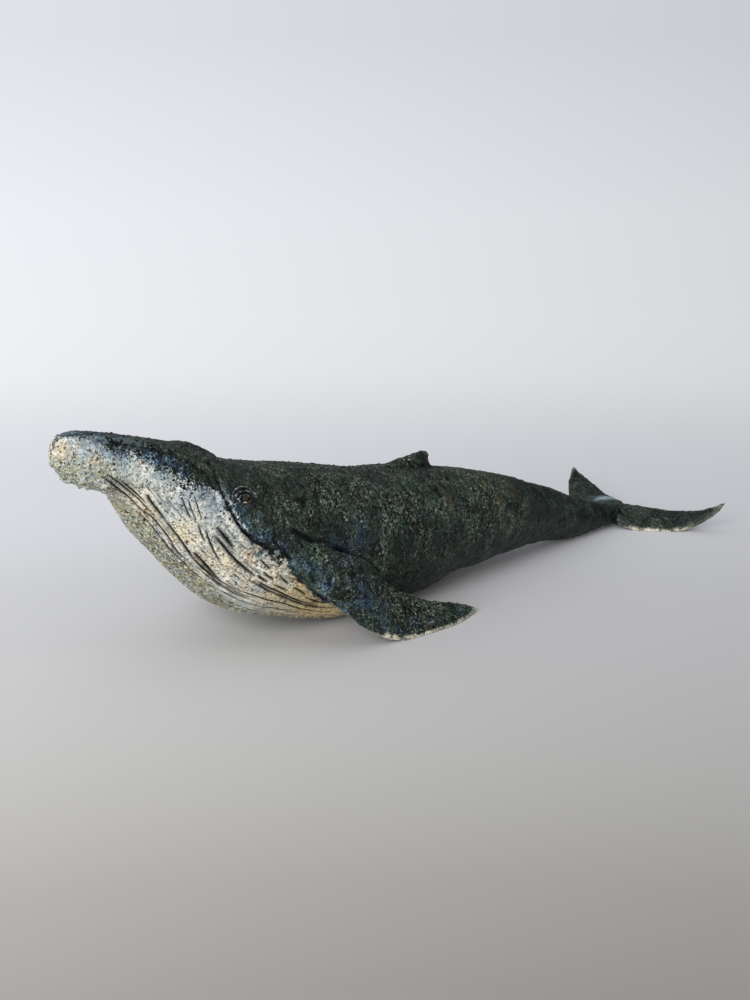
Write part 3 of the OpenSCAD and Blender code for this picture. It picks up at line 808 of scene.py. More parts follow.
# %% Where the pale slip ends, as the angle round the body at each share along it
PALE_TOP = [
    (0.0, 185), (0.014, 180), (0.024, 164), (0.036, 146), (0.045, 136), (0.054, 127), (0.065, 122),
    (0.078, 125), (0.088, 125), (0.096, 120), (0.109, 114), (0.119, 116), (0.127, 112), (0.147, 112),
    (0.158, 111), (0.166, 107), (0.172, 101), (0.178, 96), (0.19, 93), (0.202, 91), (0.218, 90),
    (0.232, 87), (0.251, 83), (0.276, 72), (0.311, 57), (0.35, 48), (0.40, 40), (0.43, 30), (0.45, 0),
]
print("the slip climbs to", max(a for _, a in PALE_TOP), "degrees at the snout")

# %% Where the cobalt and the wet shine lie, by share along, angle round, radius in mm and strength
BLUE_DABS = [
    (0.024, 133, 4, 0.5), (0.047, 126, 4, 0.7), (0.055, 122, 4, 0.7), (0.064, 122, 4, 0.6),
    (0.096, 124, 5, 0.8), (0.106, 122, 6, 1.0), (0.115, 124, 6, 1.0), (0.128, 118, 5, 0.8),
    (0.150, 103, 5, 0.45), (0.154, 97, 4, 0.45), (0.172, 101, 3.5, 0.9), (0.180, 99, 4, 1.0),
    (0.174, 112, 4, 0.7), (0.184, 105, 4, 0.9), (0.198, 103, 6, 0.7),
    (0.213, 108, 6, 0.5), (0.195, 95, 5, 0.7), (0.209, 92, 6, 0.8), (0.222, 92, 6, 0.8),
    (0.244, 91, 7, 0.6), (0.262, 82, 7, 0.5), (0.335, 92, 13, 0.7), (0.365, 100, 13, 0.6),
    (0.42, 150, 10, 0.25),
    (0.62, 40, 22, 0.3), (0.52, 36, 18, 0.3), (0.86, 40, 14, 0.3), (0.11, 82, 5, 0.4),
    (0.196, 87, 3, 0.8), (0.207, 86, 3, 0.8), (0.216, 86, 3, 0.7), (0.186, 91, 2.5, 0.6),
    (0.229, 85, 3, 0.5), (0.139, 109, 2.6, 0.6), (0.141, 104, 2.6, 0.6),
    (0.147, 108, 2.4, 0.7), (0.149, 102, 2.6, 0.7),
    (0.156, 106, 2.4, 0.6), (0.158, 100, 2.6, 0.6), (0.165, 98, 2.4, 0.5), (0.12, 98, 4, 0.3),
    (0.10, 104, 4, 0.35), (0.074, 74, 4, 0.35), (0.082, 75, 4, 0.35), (0.098, 44, 4, 0.4),
    (0.102, 30, 5, 0.5), (0.115, 24, 4, 0.5),
]
SHEEN_DABS = [
    (0.179, 112, 4, 0.9), (0.182, 109, 4, 1.0), (0.185, 104, 4, 0.9), (0.195, 100, 6, 0.6),
    (0.210, 95, 6, 0.5), (0.222, 92, 5, 0.4), (0.108, 122, 6, 0.4), (0.126, 121, 5, 0.4),
    (0.09, 140, 8, 0.3), (0.12, 140, 8, 0.3),
]
# On the flippers a dab is x, y and z in mm on the left side, then its radius in mm and its strength.
FLIPPER_BLUE = [
    (-79, -54, 26, 9, 1.0), (-84, -51, 32, 7, 0.7), (-70, -57, 19, 8, 0.6), (-86, -33, 24, 9, 0.8),
    (-108, -41, 46, 4, 0.6), (-104, -44, 43, 5, 0.8), (-101, -46, 39, 5, 0.8), (-98, -48, 33, 5, 0.8),
    (-97, -49, 27, 4, 0.8), (-94, -51, 23, 4, 0.8), (-90, -51, 19, 5, 0.9), (-86, -54, 14, 5, 0.9),
    (-82, -58, 8, 5, 0.8), (-71, -59, 9, 5, 0.6), (-61, -60, 8, 5, 0.6), (-51, -60, 7, 5, 0.5),
    (-40, -60, 6, 5, 0.5), (-17, -59, 6, 6, 0.5), (-6, -55, 6, 6, 0.6),
]
print("cobalt dabs:", len(BLUE_DABS), "on the body and", len(FLIPPER_BLUE), "on each flipper")

# %% Where the slip is stained ochre, cream or cool
OCHRE_DABS = [
    (0.210, 114, 2.0, 0.7), (0.006, 120, 3.0, 0.9), (0.012, 100, 3.0, 0.7),
    (0.035, 95, 3.5, 0.6), (0.075, 60, 3.5, 0.6), (0.10, 40, 4, 0.6), (0.16, 44, 4, 0.5),
    (0.55, 120, 6, 0.15), (0.64, 132, 8, 0.25), (0.668, 118, 8, 0.25), (0.70, 128, 9, 0.2),
    (0.68, 95, 9, 0.15),
]
CREAM_DABS = [
    (0.003, 125, 6, 0.8), (0.006, 150, 5, 0.7), (0.09, 62, 12, 0.6),
    (0.13, 56, 13, 0.8), (0.17, 52, 14, 0.8), (0.21, 50, 13, 0.7), (0.245, 58, 14, 0.9),
    (0.28, 54, 18, 1.0), (0.31, 48, 18, 1.0), (0.345, 42, 18, 1.0), (0.10, 34, 10, 0.7),
    (0.20, 78, 8, 0.6), (0.235, 74, 9, 0.8),
]
COOL_DABS = [
    (0.015, 110, 12, 1.0), (0.03, 95, 12, 1.0), (0.045, 112, 12, 1.0), (0.07, 104, 14, 1.0),
    (0.06, 84, 9, 0.7), (0.10, 100, 14, 1.0), (0.13, 94, 14, 1.0), (0.155, 92, 12, 1.0),
    (0.175, 84, 9, 0.7), (0.205, 82, 7, 0.5),
    (0.18, 80, 8, 0.5), (0.225, 34, 12, 0.8), (0.255, 30, 12, 0.8), (0.17, 62, 6, 0.4),
]


def dabbed(dabs):
    mask = np.zeros(len(sculpted))
    for side in (-1, 1):
        for s, a, radius, strength in dabs:
            middle_point = skin_place(s, a, side)
            reach = radius * MM
            away = np.linalg.norm(sculpted - middle_point, axis=1) / reach
            mask = np.maximum(mask, strength * bump(away))
    return mask


print("dabs of slip:", len(OCHRE_DABS + CREAM_DABS + COOL_DABS))

# %% Paint the edge of the pale slip
frayed = cloud(skin, 7 * MM, 11) * 5 + cloud(skin, 2.6 * MM, 12) * 4 + cloud(skin, 1.3 * MM, 13) * 2
frayed *= 1 - 0.75 * ramp(s_of, 0.25, 0.29)
top_edge = np.interp(s_of, *np.array(PALE_TOP).T)
off_fins = 1 - fin_point
at_snout = 1 - ramp(s_of, 0.12, 0.165)
blunt = 5 - 3 * ramp(s_of, 0.22, 0.27)
stippled_from, stippled_to = top_edge - blunt - 28 * at_snout, top_edge + blunt + 12 * at_snout
pale = (1 - ramp(angle + frayed, stippled_from, stippled_to)) * (s_of < 0.47) * off_fins
below_mouth = ramp(spread(points_on(LOWER).astype(float), pairs, 1), 0.35, 0.65)
on_line = ramp(s_of, 0.158, 0.168) * (1 - ramp(s_of, 0.215, 0.235))
pale = pale * (1 - on_line * (1 - below_mouth))
pale = np.maximum(pale, 0.58 * lid_pale)
print(f"pale: mean {pale.mean():.3f}")

# %% Paint the cobalt
border = bump((angle + 0.6 * frayed - top_edge - 4) / 5)
border = border * ramp(s_of, 0.195, 0.21) * (1 - ramp(s_of, 0.31, 0.34))
blue = np.maximum(dabbed(BLUE_DABS), 0.6 * border * off_fins)
for x, y, z, radius, strength in FLIPPER_BLUE:
    for side in (1, -1):
        away = np.linalg.norm(sculpted - np.array([x, y * side, z]) * MM, axis=1) / (radius * MM)
        blue = np.maximum(blue, strength * bump(away))
blue = np.clip(blue * (1 + 0.55 * cloud(skin, 4 * MM, 14) + 0.35 * cloud(skin, 2 * MM, 15)), 0, 1)
print(f"blue: mean {blue.mean():.3f}")

# %% Paint the warm and the cool places, the crust, the grooves and the painted shadow behind the flippers
cream = np.clip(dabbed(CREAM_DABS) * (1 + 0.5 * cloud(skin, 5 * MM, 16)), 0, 1)
cool = np.clip(dabbed(COOL_DABS) * (1 + 0.5 * cloud(skin, 5 * MM, 17)), 0, 1)
ochre = np.clip(dabbed(OCHRE_DABS) * (1 + 0.5 * cloud(skin, 3 * MM, 19)), 0, 1)
below_lip = bump((mouth_gap - 1.9 * MM) / (0.8 * MM)) * below_mouth
below_lip *= ramp(s_of, 0.17, 0.185) * (1 - ramp(s_of, 0.25, 0.27))
ochre = np.maximum(ochre, 0.45 * below_lip * ramp(cloud(skin, 3 * MM, 27), -0.5, 0.3))
ochre = np.maximum(ochre, lid_gold * ramp(cloud(skin, 1.6 * MM, 20), -0.8, 0.2))
crust = np.clip(np.maximum(keel, chin) * (1 + 0.6 * cloud(skin, 4 * MM, 18)), 0, 1)
# The groove mask lays near-black in the carved grooves, the mouth and the eye's folds, and painted shadow in
# the crease behind each flipper.
groove = np.clip(np.maximum.reduce([stain, 1.3 * mouth_stain, 0.8 * eye_fold, 0.8 * fin_crease_and_shadow]), 0, 1)
for name, mask in (("cream", cream), ("cool", cool), ("ochre", ochre), ("crust", crust), ("groove", groove)):
    print(f"{name}: mean {mask.mean():.3f}, most {mask.max():.2f}")

# %% [markdown]
# ## Thin edges
# Glaze draws back from a sharp edge in the kiln, so the rims of the fins fire nearly bare. An edge
# is found by how far a point stands out from its neighbours: a lot on a rim, almost nothing on the
# flat. The same measure, at a smaller size, tells a pit from a knob.

# %% Find the rims of the fins
outward = normals_of(skin, quads)
stands_out = -(to_neighbours(skin, pairs) * outward).sum(1)
rim = spread(np.clip(stands_out / (0.09 * MM), 0, 1) * fin_point, pairs, 3)
bare = ramp(rim * (1 + 0.35 * cloud(skin, 5 * MM, 21) + 0.3 * cloud(skin, 2 * MM, 22)), 0.32, 0.75)
rear = ramp(s_of, 0.8, 0.9)
low_down = 1 - ramp(skin[:, 2], (4 - 2.5 * rear) * MM, (11 - 7 * rear) * MM)
bare = bare * np.maximum(low_down, 0.2 * ramp(cloud(skin, 9 * MM, 23), 0.1, 0.5))
print("rim points:", int((bare > 0.5).sum()))

# %% Find the painted reflection, the painted highlights, the milky and smooth places, and gather the masks
# A painted reflection: a pale cool patch on top of the far fluke, where the bright room would shine back from
# the glaze. It also makes the glaze glossier there.
REFLECTION_PATCH_AT, REFLECTION_PATCH_SIZE = np.array([200.5, 18, 10.5]) * MM, np.array([3.2, 11, 4]) * MM
painted_reflection_patch = bump(np.linalg.norm((sculpted - REFLECTION_PATCH_AT) / REFLECTION_PATCH_SIZE, axis=1))
carved_normal = normals_of(sculpted, quads)
# A painted highlight: a pale streak along the upper lip's rim in front of the eye, and half as strong on the
# ridges round the eye's arcs.
painted_lip_highlight = bump((mouth_gap - 1.5 * MM) / (0.6 * MM)) * upper_side * ramp(cloud(skin, 3 * MM, 25), -0.5, 0.4)
painted_lip_highlight *= ramp(s_of, 0.173, 0.181) * (1 - ramp(s_of, 0.192, 0.21))
painted_lip_highlight = np.maximum(painted_lip_highlight, 0.5 * painted_arc_highlight)
hollow = np.abs(sculpted * np.array([1, 0, 1]) - np.array([-76, 0, 24]) * MM)
milk = ramp(s_of, 0.02, 0.05) * (1 - ramp(s_of, 0.23, 0.27)) * off_fins
milk = np.maximum(milk, 0.8 * fin_point * (1 - bump(np.linalg.norm(hollow, axis=1) / (13 * MM))))
carved_out = -(to_neighbours(sculpted, pairs) * carved_normal).sum(1)
knob = spread(np.clip(carved_out / (0.1 * MM), -1, 1), pairs, 1)
sheen = np.maximum(np.clip(dabbed(SHEEN_DABS), 0, 1), painted_reflection_patch)
lined = np.clip(pale * combed, 0, 1)
# Painted shade: the lower flank behind the flippers gets less grit, so its glaze stays darker than the
# back's, and smoother, with fewer crumbs.
shaded_low_flank = (1 - ramp(angle + 8 * cloud(skin, 20 * MM, 26), 55, 112)) * ramp(s_of, 0.36, 0.46) * off_fins
grit = np.clip((coarse - 0.2) * (1 - 0.75 * ramp(s_of, 0.62, 0.80)) * (1 - 0.75 * shaded_low_flank), 0, 1.1)
MASKS = {
    "pale": pale, "blue": blue, "cream": cream, "cool": cool, "crust": crust, "groove": groove, "bare": bare,
    "knob": knob, "sheen": sheen, "grit": grit, "ochre": ochre, "lined": lined, "dell": dell, "lip": painted_lip_highlight,
    "milk": milk, "wet": painted_reflection_patch, "thinly": 1 - ramp(s_of, 0.05, 0.12),
    "golden": cream * (0.3 + 0.7 * ramp(s_of, 0.22, 0.27)),
}
lap_time("painted")

# %% [markdown]
# ## Cutting the skin at its joints
# The one skin is cut again where the clay pieces meet, so each piece of the figurine stays a piece
# of its own. A vote among neighbouring faces first straightens the ragged cut. Then every open
# rim is turned inward and closed, so that each piece is a solid with nothing missing.

# %% Straighten the cuts
def face_neighbours(faces):
    sides = sides_of(faces)
    face = np.tile(np.arange(len(faces)), 4)
    real = sides[:, 0] != sides[:, 1]
    sides, face = np.sort(sides[real], axis=1), face[real]
    order = np.lexsort((sides[:, 1], sides[:, 0]))
    sides, face = sides[order], face[order]
    same = (sides[1:] == sides[:-1]).all(1)
    return face[:-1][same], face[1:][same]


def voted(owner, faces, rounds):
    one, other = face_neighbours(faces)
    for _ in range(rounds):
        votes = np.zeros((len(faces), len(PIECES)))
        np.add.at(votes, (one, owner[other]), 1.0)
        np.add.at(votes, (other, owner[one]), 1.0)
        votes[np.arange(len(faces)), owner] += 1.1
        owner = votes.argmax(1)
    return owner


def rim_edges(faces):
    """The sides that no other face of the same piece runs back along."""
    sides = sides_of(faces)
    sides = sides[sides[:, 0] != sides[:, 1]]
    key, back = sides[:, 0] * 10**7 + sides[:, 1], sides[:, 1] * 10**7 + sides[:, 0]
    return sides[~np.isin(key, back)]


def pinched(owner, faces):
    """Where one piece touches itself at a corner only, the faces round that point are given to it."""
    changed = 0
    for index in range(len(PIECES)):
        edge = rim_edges(faces[owner == index])
        twice = np.nonzero(np.bincount(edge[:, 0], minlength=len(skin)) > 1)[0]
        if len(twice):
            touching = np.isin(faces, twice).any(1)
            owner = np.where(touching, index, owner)
            changed += len(twice)
    return owner, changed


piece_of = voted(piece_of, quads, 6)
for _ in range(6):
    piece_of, changed = pinched(piece_of, quads)
    if not changed:
        break
print("pinched points left:", changed)
print({PIECES[k]: int((piece_of == k).sum()) for k in range(len(PIECES))})
lap_time("cut apart")

# %% [markdown]
# ## Closing each piece
# Large pieces get a wall a few millimetres deep along the cut and a bulkhead behind it. Rolls of
# clay that are thinner than that, the lips and the lids, get an inner skin instead.

# %% Helpers for closing a rim
WALL_DEEP = {"tubercles": 1.0, "fluke": 1.6, "dorsal": 1.4, "crest": 1.2, "flipper": 2.2}
BODY_DEEP = 2.4
ROLL_DEEP = 1.2 * MM
ROLLS = ("left_lower_lip", "right_lower_lip", "left_eyelids", "right_eyelids")


def loops_of(edges):
    after = dict(edges.tolist())
    loops = []
    while after:
        start, point = next(iter(after.items()))
        loop = [start]
        del after[start]
        while point != start and point in after:
            loop.append(point)
            point = after.pop(point)
        loops.append(loop)
    return loops


def with_inner_skin(place, facing, faces, rim):
    """A thin roll of clay: the same skin once more below, facing inward, joined along the rim."""
    count = len(place)
    below = [tuple(count + k for k in reversed(f)) for f in faces]
    joint = [(b, a, count + a, count + b) for a, b in rim.tolist()]
    place = np.concatenate([place, place - facing * ROLL_DEEP])
    return place, np.concatenate([facing, -facing]), faces + below + joint


def with_bulkheads(place, facing, faces, rim, deep):
    """A thick piece: a wall that goes inward from the rim, and a fan of faces closing it there."""
    count, edge = len(place), np.unique(rim)
    low = np.full(count, -1)
    low[edge] = count + np.arange(len(edge))
    inner = place[edge] - facing[edge] * deep
    new_points, new_facing = [place, inner], [facing, -facing[edge]]
    faces = faces + [(b, a, low[a], low[b]) for a, b in rim.tolist()]
    total = count + len(edge)
    for loop in loops_of(rim):
        centre = inner[low[np.array(loop)] - count].mean(0)
        new_points.append(centre[None])
        new_facing.append(np.array([[0.0, 0.0, 1.0]]))
        faces += [(low[b], low[a], total) for a, b in zip(loop, loop[1:] + loop[:1])]
        total += 1
    return np.concatenate(new_points), np.concatenate(new_facing), faces


print("thin rolls:", ", ".join(ROLLS))

# %% Build one closed piece from its part of the skin
def closed_piece(name):
    mine = quads[piece_of == PIECES.index(name)]
    used, local = np.unique(mine, return_inverse=True)
    local = local.reshape(-1, 4)
    place, facing = sculpted[used], carved_normal[used]
    faces = [tuple(dict.fromkeys(f)) for f in local.tolist()]
    rim, count = rim_edges(local), len(used)
    if name in ROLLS:
        place, facing, faces = with_inner_skin(place, facing, faces, rim)
    else:
        deep = next((v for k, v in WALL_DEEP.items() if k in name), BODY_DEEP)
        place, facing, faces = with_bulkheads(place, facing, faces, rim, deep * MM)
    mesh = bpy.data.meshes.new(name + "_skin")
    mesh.from_pydata(place, [], faces)
    mesh.polygons.foreach_set("use_smooth", np.ones(len(mesh.polygons), bool))
    for label, values in MASKS.items():
        column = np.zeros(len(place), np.float32)
        column[:count] = values[used]
        if name in ROLLS:
            column[count:] = values[used]
        write_attribute(mesh, label, column)
    run_of = np.zeros((len(place), 3), np.float32)
    run_of[:count] = flow[used]
    mesh.attributes.new("flow", "FLOAT_VECTOR", "POINT").data.foreach_set("vector", run_of.ravel())
    mesh.update()
    mesh.normals_split_custom_set_from_vertices(facing)
    return put_in_scene(name + "_fired", mesh)

# %% Close every piece, and measure that it is closed
fired = {name: closed_piece(name) for name in PIECES}
for name, piece in fired.items():
    check = bmesh.new()
    check.from_mesh(piece.data)
    loose = sum(not e.is_manifold for e in check.edges)
    triangles = sum(len(f.verts) - 2 for f in check.faces)
    volume = check.calc_volume() / MM**3 / 1000
    print(f"{name}: {triangles} triangles, edges not closed {loose}, volume {volume:.1f} cm3")
    check.free()
lap_time("closed")

# %% [markdown]
# ## Building a glaze from nodes
# A shader node tree is easier to read when each node is made in one line. `add` makes a node, sets
# its choices, and fills each input either with a plain value or with a link from another node.

# %% Make a node in one line, and do sums with sockets
def paint(red, green, blue_part):
    """A colour as read off a screen, 0 to 255, turned into the linear one that nodes use."""
    shown = [v / 255 for v in (red, green, blue_part)]
    linear = [((v + 0.055) / 1.055) ** 2.4 if v > 0.04 else v / 12.92 for v in shown]
    return (*linear, 1.0)


def add(tree, kind, inputs=None, **choices):
    """A new node with its choices made, and each input either linked to a socket or set to a value."""
    made = tree.nodes.new(kind)
    for key, value in choices.items():
        setattr(made, key, value)
    for key, value in (inputs or {}).items():
        if isinstance(value, bpy.types.NodeSocket):
            tree.links.new(value, made.inputs[key])
        else:
            made.inputs[key].default_value = value
    return made


def maths(tree, operation, first, second=0.0, clamp=False):
    return add(tree, "ShaderNodeMath", {0: first, 1: second}, operation=operation, use_clamp=clamp).outputs[0]


def times(tree, first, *others):
    for other in others:
        first = maths(tree, "MULTIPLY", first, other)
    return first


def plus(tree, first, second):
    return maths(tree, "ADD", first, second)


def larger(tree, first, second):
    return maths(tree, "MAXIMUM", first, second)


def without(tree, value, part):
    return maths(tree, "SUBTRACT", 1.0, times(tree, value, part))


def between(tree, value, low, high):
    """0 below the low value, 1 above the high one and a soft step between them, or the other way round."""
    inputs = {"Value": value, "From Min": low, "From Max": high}
    return add(tree, "ShaderNodeMapRange", inputs, interpolation_type="SMOOTHSTEP").outputs["Result"]


def over(tree, below, above, *shares):
    """One colour laid over another, as far as the product of the shares lets it show."""
    made = add(tree, "ShaderNodeMix", {"Factor": times(tree, *shares), 6: below, 7: above}, data_type="RGBA")
    return made.outputs[2]

# %% Read a mask, make a noise, and open and close a group
def mask_of(tree, name):
    return add(tree, "ShaderNodeAttribute", attribute_name=name, attribute_type="GEOMETRY").outputs["Fac"]


def places(tree):
    return add(tree, "ShaderNodeTexCoord").outputs["Object"]


def grain(tree, size, detail=2.0, rough=0.5, where=None):
    inputs = {"Vector": where or places(tree), "Scale": 1 / (size * MM), "Detail": detail, "Roughness": rough}
    return add(tree, "ShaderNodeTexNoise", inputs).outputs["Fac"]


def group_of(name, inputs, outputs):
    tree = bpy.data.node_groups.new(name, "ShaderNodeTree")
    for label, kind, value in inputs:
        socket = tree.interface.new_socket(label, in_out="INPUT", socket_type="NodeSocket" + kind)
        socket.default_value = value
    for label, kind in outputs:
        tree.interface.new_socket(label, in_out="OUTPUT", socket_type="NodeSocket" + kind)
    return tree, tree.nodes.new("NodeGroupInput").outputs, tree.nodes.new("NodeGroupOutput").inputs


def close_group(tree, end, results):
    for label, source in results.items():
        tree.links.new(source, end[label])
    return tree

# %% [markdown]
# ## Pores and crusty grains
# Gas leaves the clay in the kiln through small round pores, and the grog stands up in grains about
# a millimetre wide with dark gaps between them. A Voronoi texture scatters cells in space. The
# distance to a cell's middle makes a round spot or a grain, and the cell's own random colour
# decides how large the spot is, or which of the glazes caught on the grain.

# %% Make the group of round pores
def kiln_pores():
    tree, given, end = group_of(
        "kiln_pores",
        [("Spacing", "Float", 2.6), ("Radius", "Float", 0.3), ("Share", "Float", 0.7)],
        [("Pores", "Float"), ("Halo", "Float")],
    )
    cells = maths(tree, "DIVIDE", 1 / MM, given["Spacing"])
    spots = add(tree, "ShaderNodeTexVoronoi", {"Vector": places(tree), "Scale": cells, "Randomness": 1.0})
    split = add(tree, "ShaderNodeSeparateColor", {0: spots.outputs["Color"]})
    radius = times(tree, given["Radius"], plus(tree, times(tree, split.outputs[0], 0.9), 0.45))
    depth = maths(tree, "SUBTRACT", 1.0, maths(tree, "DIVIDE", spots.outputs["Distance"], radius))
    there = maths(tree, "LESS_THAN", split.outputs[1], given["Share"])
    pores = times(tree, between(tree, depth, 0.0, 0.4), there)
    halo = times(tree, between(tree, depth, -0.9, 0.0), there)
    return close_group(tree, end, {"Pores": pores, "Halo": halo})


PORES = kiln_pores()


def pores_at(tree, spacing, radius, share):
    inputs = {"Spacing": spacing, "Radius": radius, "Share": share}
    return add(tree, "ShaderNodeGroup", inputs, node_tree=PORES).outputs


print("pore nodes:", len(PORES.nodes))

# %% Make the group of crusty grains, pushed about by a swirl so that no edge is straight
def crust_grains():
    tree, given, end = group_of(
        "crust_grains",
        [("Size", "Float", 1.5), ("Warp", "Float", 0.8)],
        [(label, "Float") for label in ("Grain", "Gap", "Tint A", "Tint B", "Tint C")],
    )
    at = places(tree)
    swirl = add(tree, "ShaderNodeTexNoise", {"Vector": at, "Scale": 1 / (1.8 * MM), "Detail": 2.0})
    half = (0.5, 0.5, 0.5)
    push = add(tree, "ShaderNodeVectorMath", {0: swirl.outputs["Color"], 1: half}, operation="SUBTRACT")
    reach = times(tree, given["Warp"], given["Size"], 2 * MM)
    moved = add(tree, "ShaderNodeVectorMath", {0: push.outputs[0], "Scale": reach}, operation="SCALE")
    where = add(tree, "ShaderNodeVectorMath", {0: at, 1: moved.outputs[0]}, operation="ADD").outputs[0]
    cells = maths(tree, "DIVIDE", 1 / MM, given["Size"])
    spots = add(tree, "ShaderNodeTexVoronoi", {"Vector": where, "Scale": cells, "Randomness": 1.0})
    split = add(tree, "ShaderNodeSeparateColor", {0: spots.outputs["Color"]})
    away = spots.outputs["Distance"]
    results = {"Grain": without(tree, away, away), "Gap": between(tree, away, 0.36, 0.62)}
    for k, label in enumerate(("Tint A", "Tint B", "Tint C")):
        results[label] = split.outputs[k]
    return close_group(tree, end, results)


GRAINS = crust_grains()


def grains_at(tree, size):
    return add(tree, "ShaderNodeGroup", {"Size": size}, node_tree=GRAINS).outputs


print("grain nodes:", len(GRAINS.nodes))

# %% [markdown]
# ## The dark glaze, the pale slip and the cobalt
# One group lays all three over each other, because on the pot they run into one another. It reads
# the painted masks, adds grain far finer than the mesh, and gives out a colour, a roughness and a
# height. Each layer is brushed on by a function of its own below. The group's inputs are the
# potter's colours, so a finish can be changed without opening the group.

# %% Mix the potter's colours
GLAZE_COLOURS = {
    "Dark": (15, 25, 22),
    "Dark Light": (50, 68, 60),
    "Dark Crust": (94, 108, 92),
    "Olive": (72, 76, 60),
    "Fleck": (174, 188, 176),
    "Slip": (248, 249, 242),
    "Slip Cool": (160, 180, 190),
    "Slip Deep": (120, 140, 152),
    "Slip Cream": (242, 229, 198),
    "Ochre": (170, 138, 84),
    "Rust": (104, 76, 42),
    "Crust": (178, 172, 124),
    "Warm Wash": (255, 238, 200),
    "Cobalt": (11, 25, 44),
    "Cobalt Thin": (54, 84, 100),
    "Cobalt Milk": (158, 180, 188),
    "Pit": (3, 5, 5),
    "Gap Pale": (86, 84, 70),
    "Bare Clay": (224, 216, 196),
}
print("colours mixed:", len(GLAZE_COLOURS))

# %% Make the patterns that all layers share
def stretched(tree, source, by):
    return add(tree, "ShaderNodeVectorMath", {0: source, 1: by}, operation="MULTIPLY").outputs[0]


def shared_patterns(tree, mask):
    """Noises by the width of their lumps, two sizes of grains, and where a mask holds a colour back."""
    washed_down = stretched(tree, places(tree), (1.0, 0.6, 0.3))
    return SimpleNamespace(
        broad=grain(tree, 20, 3),
        mid=grain(tree, 6, 4, 0.6),
        fine=grain(tree, 0.95, 2, 0.6),
        crackle=grain(tree, 1.5, 3, 0.7),
        washed=grain(tree, 4.0, 4, 0.6, where=washed_down),
        patchy=between(tree, grain(tree, 16, 4, 0.6), 0.38, 0.58),
        large=grains_at(tree, 1.9),
        small=grains_at(tree, 0.95),
        on_knob=between(tree, mask.knob, 0.0, 0.55),
        in_pit=between(tree, times(tree, mask.knob, -1.0), 0.02, 0.45),
        not_cool=without(tree, mask.cool, 0.8),
        not_cream=without(tree, mask.cream, 0.75),
        not_lined=without(tree, mask.lined, 0.6),
    )

# %% [markdown]
# ## The dark glaze
# It is almost black where it lies smooth. Where the clay is gritty it breaks to grey-green and
# olive on the high grains, with white flecks of grog, and it leaves black cracks and pits between.
# On the lower flank the grit is turned down as painted shade, so the glaze there stays darker.

# %% Brush on the dark glaze
def dark_layer(tree, given, mask, pattern):
    softly = maths(tree, "ADD", 0.15, times(tree, mask.grit, 0.85), True)
    dark = over(tree, given["Dark"], given["Dark Light"], between(tree, pattern.mid, 0.38, 0.62), softly)
    in_patches = plus(tree, 0.2, times(tree, pattern.patchy, 0.8))
    gritty = times(tree, maths(tree, "ADD", 0.1, times(tree, mask.grit, 0.9), True), in_patches)
    crust = over(tree, given["Dark Crust"], given["Olive"], between(tree, pattern.broad, 0.42, 0.60))
    dark = over(tree, dark, crust, gritty, between(tree, pattern.washed, 0.36, 0.58))
    specks = times(tree, pattern.small["Tint B"], between(tree, pattern.fine, 0.47, 0.60))
    specks = larger(tree, specks, times(tree, pattern.on_knob, 0.5))
    dark = over(tree, dark, given["Fleck"], between(tree, specks, 0.5, 1.0), gritty, 0.8)
    iron = between(tree, pattern.large["Tint B"], 0.95, 1.0)
    dark = over(tree, dark, given["Ochre"], iron, gritty, 0.2)
    cracked = plus(tree, 0.35, times(tree, gritty, 0.6))
    dark = over(tree, dark, given["Pit"], between(tree, pattern.crackle, 0.53, 0.44), cracked)
    dark = over(tree, dark, given["Pit"], between(tree, pattern.fine, 0.48, 0.38), 0.8)
    pits = times(tree, pores_at(tree, 2.2, 0.30, 0.75)["Pores"], between(tree, gritty, 0.15, 0.6))
    dark = over(tree, dark, given["Pit"], pits, 0.9)
    thinly = between(tree, plus(tree, pattern.crackle, pattern.mid), 0.94, 1.08)
    dark = over(tree, dark, given["Slip Deep"], mask.thinly, thinly, 0.5)
    dark = over(tree, dark, given["Pit"], pattern.in_pit, 0.85)
    dark = over(tree, dark, given["Ochre"], mask.ochre, between(tree, pattern.washed, 0.42, 0.62), 0.6)
    return dark, gritty, pits

# %% [markdown]
# ## The pale slip
# The slip is a thin coat of white clay: white on the grains, blue-grey where the dark body shows
# through, and cream where it lies thick. Iron bleeds out round the pores as ochre rings. Along the
# pleats, dragged threads and rows of pinholes follow the painted `flow`, which the texture reads
# in place of the object's own coordinates.

# %% Brush on the slip's ground
def slip_ground(tree, given, mask, pattern):
    slip = over(tree, given["Slip"], given["Slip Cool"], between(tree, pattern.mid, 0.40, 0.62))
    slip = over(tree, slip, given["Slip Cool"], mask.cool, 0.65)
    slip = over(tree, slip, given["Slip Cream"], mask.cream, 0.7)
    thick = between(tree, grain(tree, 3.0, 3), 0.50, 0.62)
    slip = over(tree, slip, given["Slip Cream"], thick, pattern.not_cool, 0.6)
    cracked = between(tree, pattern.crackle, 0.52, 0.42)
    slip = over(tree, slip, given["Slip Deep"], cracked, pattern.not_lined, pattern.not_cream, 0.85)
    iron = between(tree, pattern.large["Tint B"], 0.86, 0.97)
    slip = over(tree, slip, given["Ochre"], iron, pattern.not_cool, 0.35)
    small_iron = between(tree, pattern.small["Tint B"], 0.84, 0.97)
    slip = over(tree, slip, given["Ochre"], small_iron, pattern.not_cool, 0.6)
    on_grain = times(tree, pattern.small["Tint A"], between(tree, pattern.fine, 0.48, 0.58))
    slip = over(tree, slip, given["Slip"], on_grain, pattern.not_cool, 0.9)
    off_grain = times(tree, pattern.small["Tint C"], between(tree, pattern.fine, 0.48, 0.38))
    slip = over(tree, slip, given["Gap Pale"], off_grain, 0.75)
    crusty = times(tree, mask.crust, between(tree, grain(tree, 2.6, 3), 0.36, 0.52))
    slip = over(tree, slip, given["Crust"], crusty, 0.8)
    return over(tree, slip, given["Ochre"], mask.ochre, 0.6)

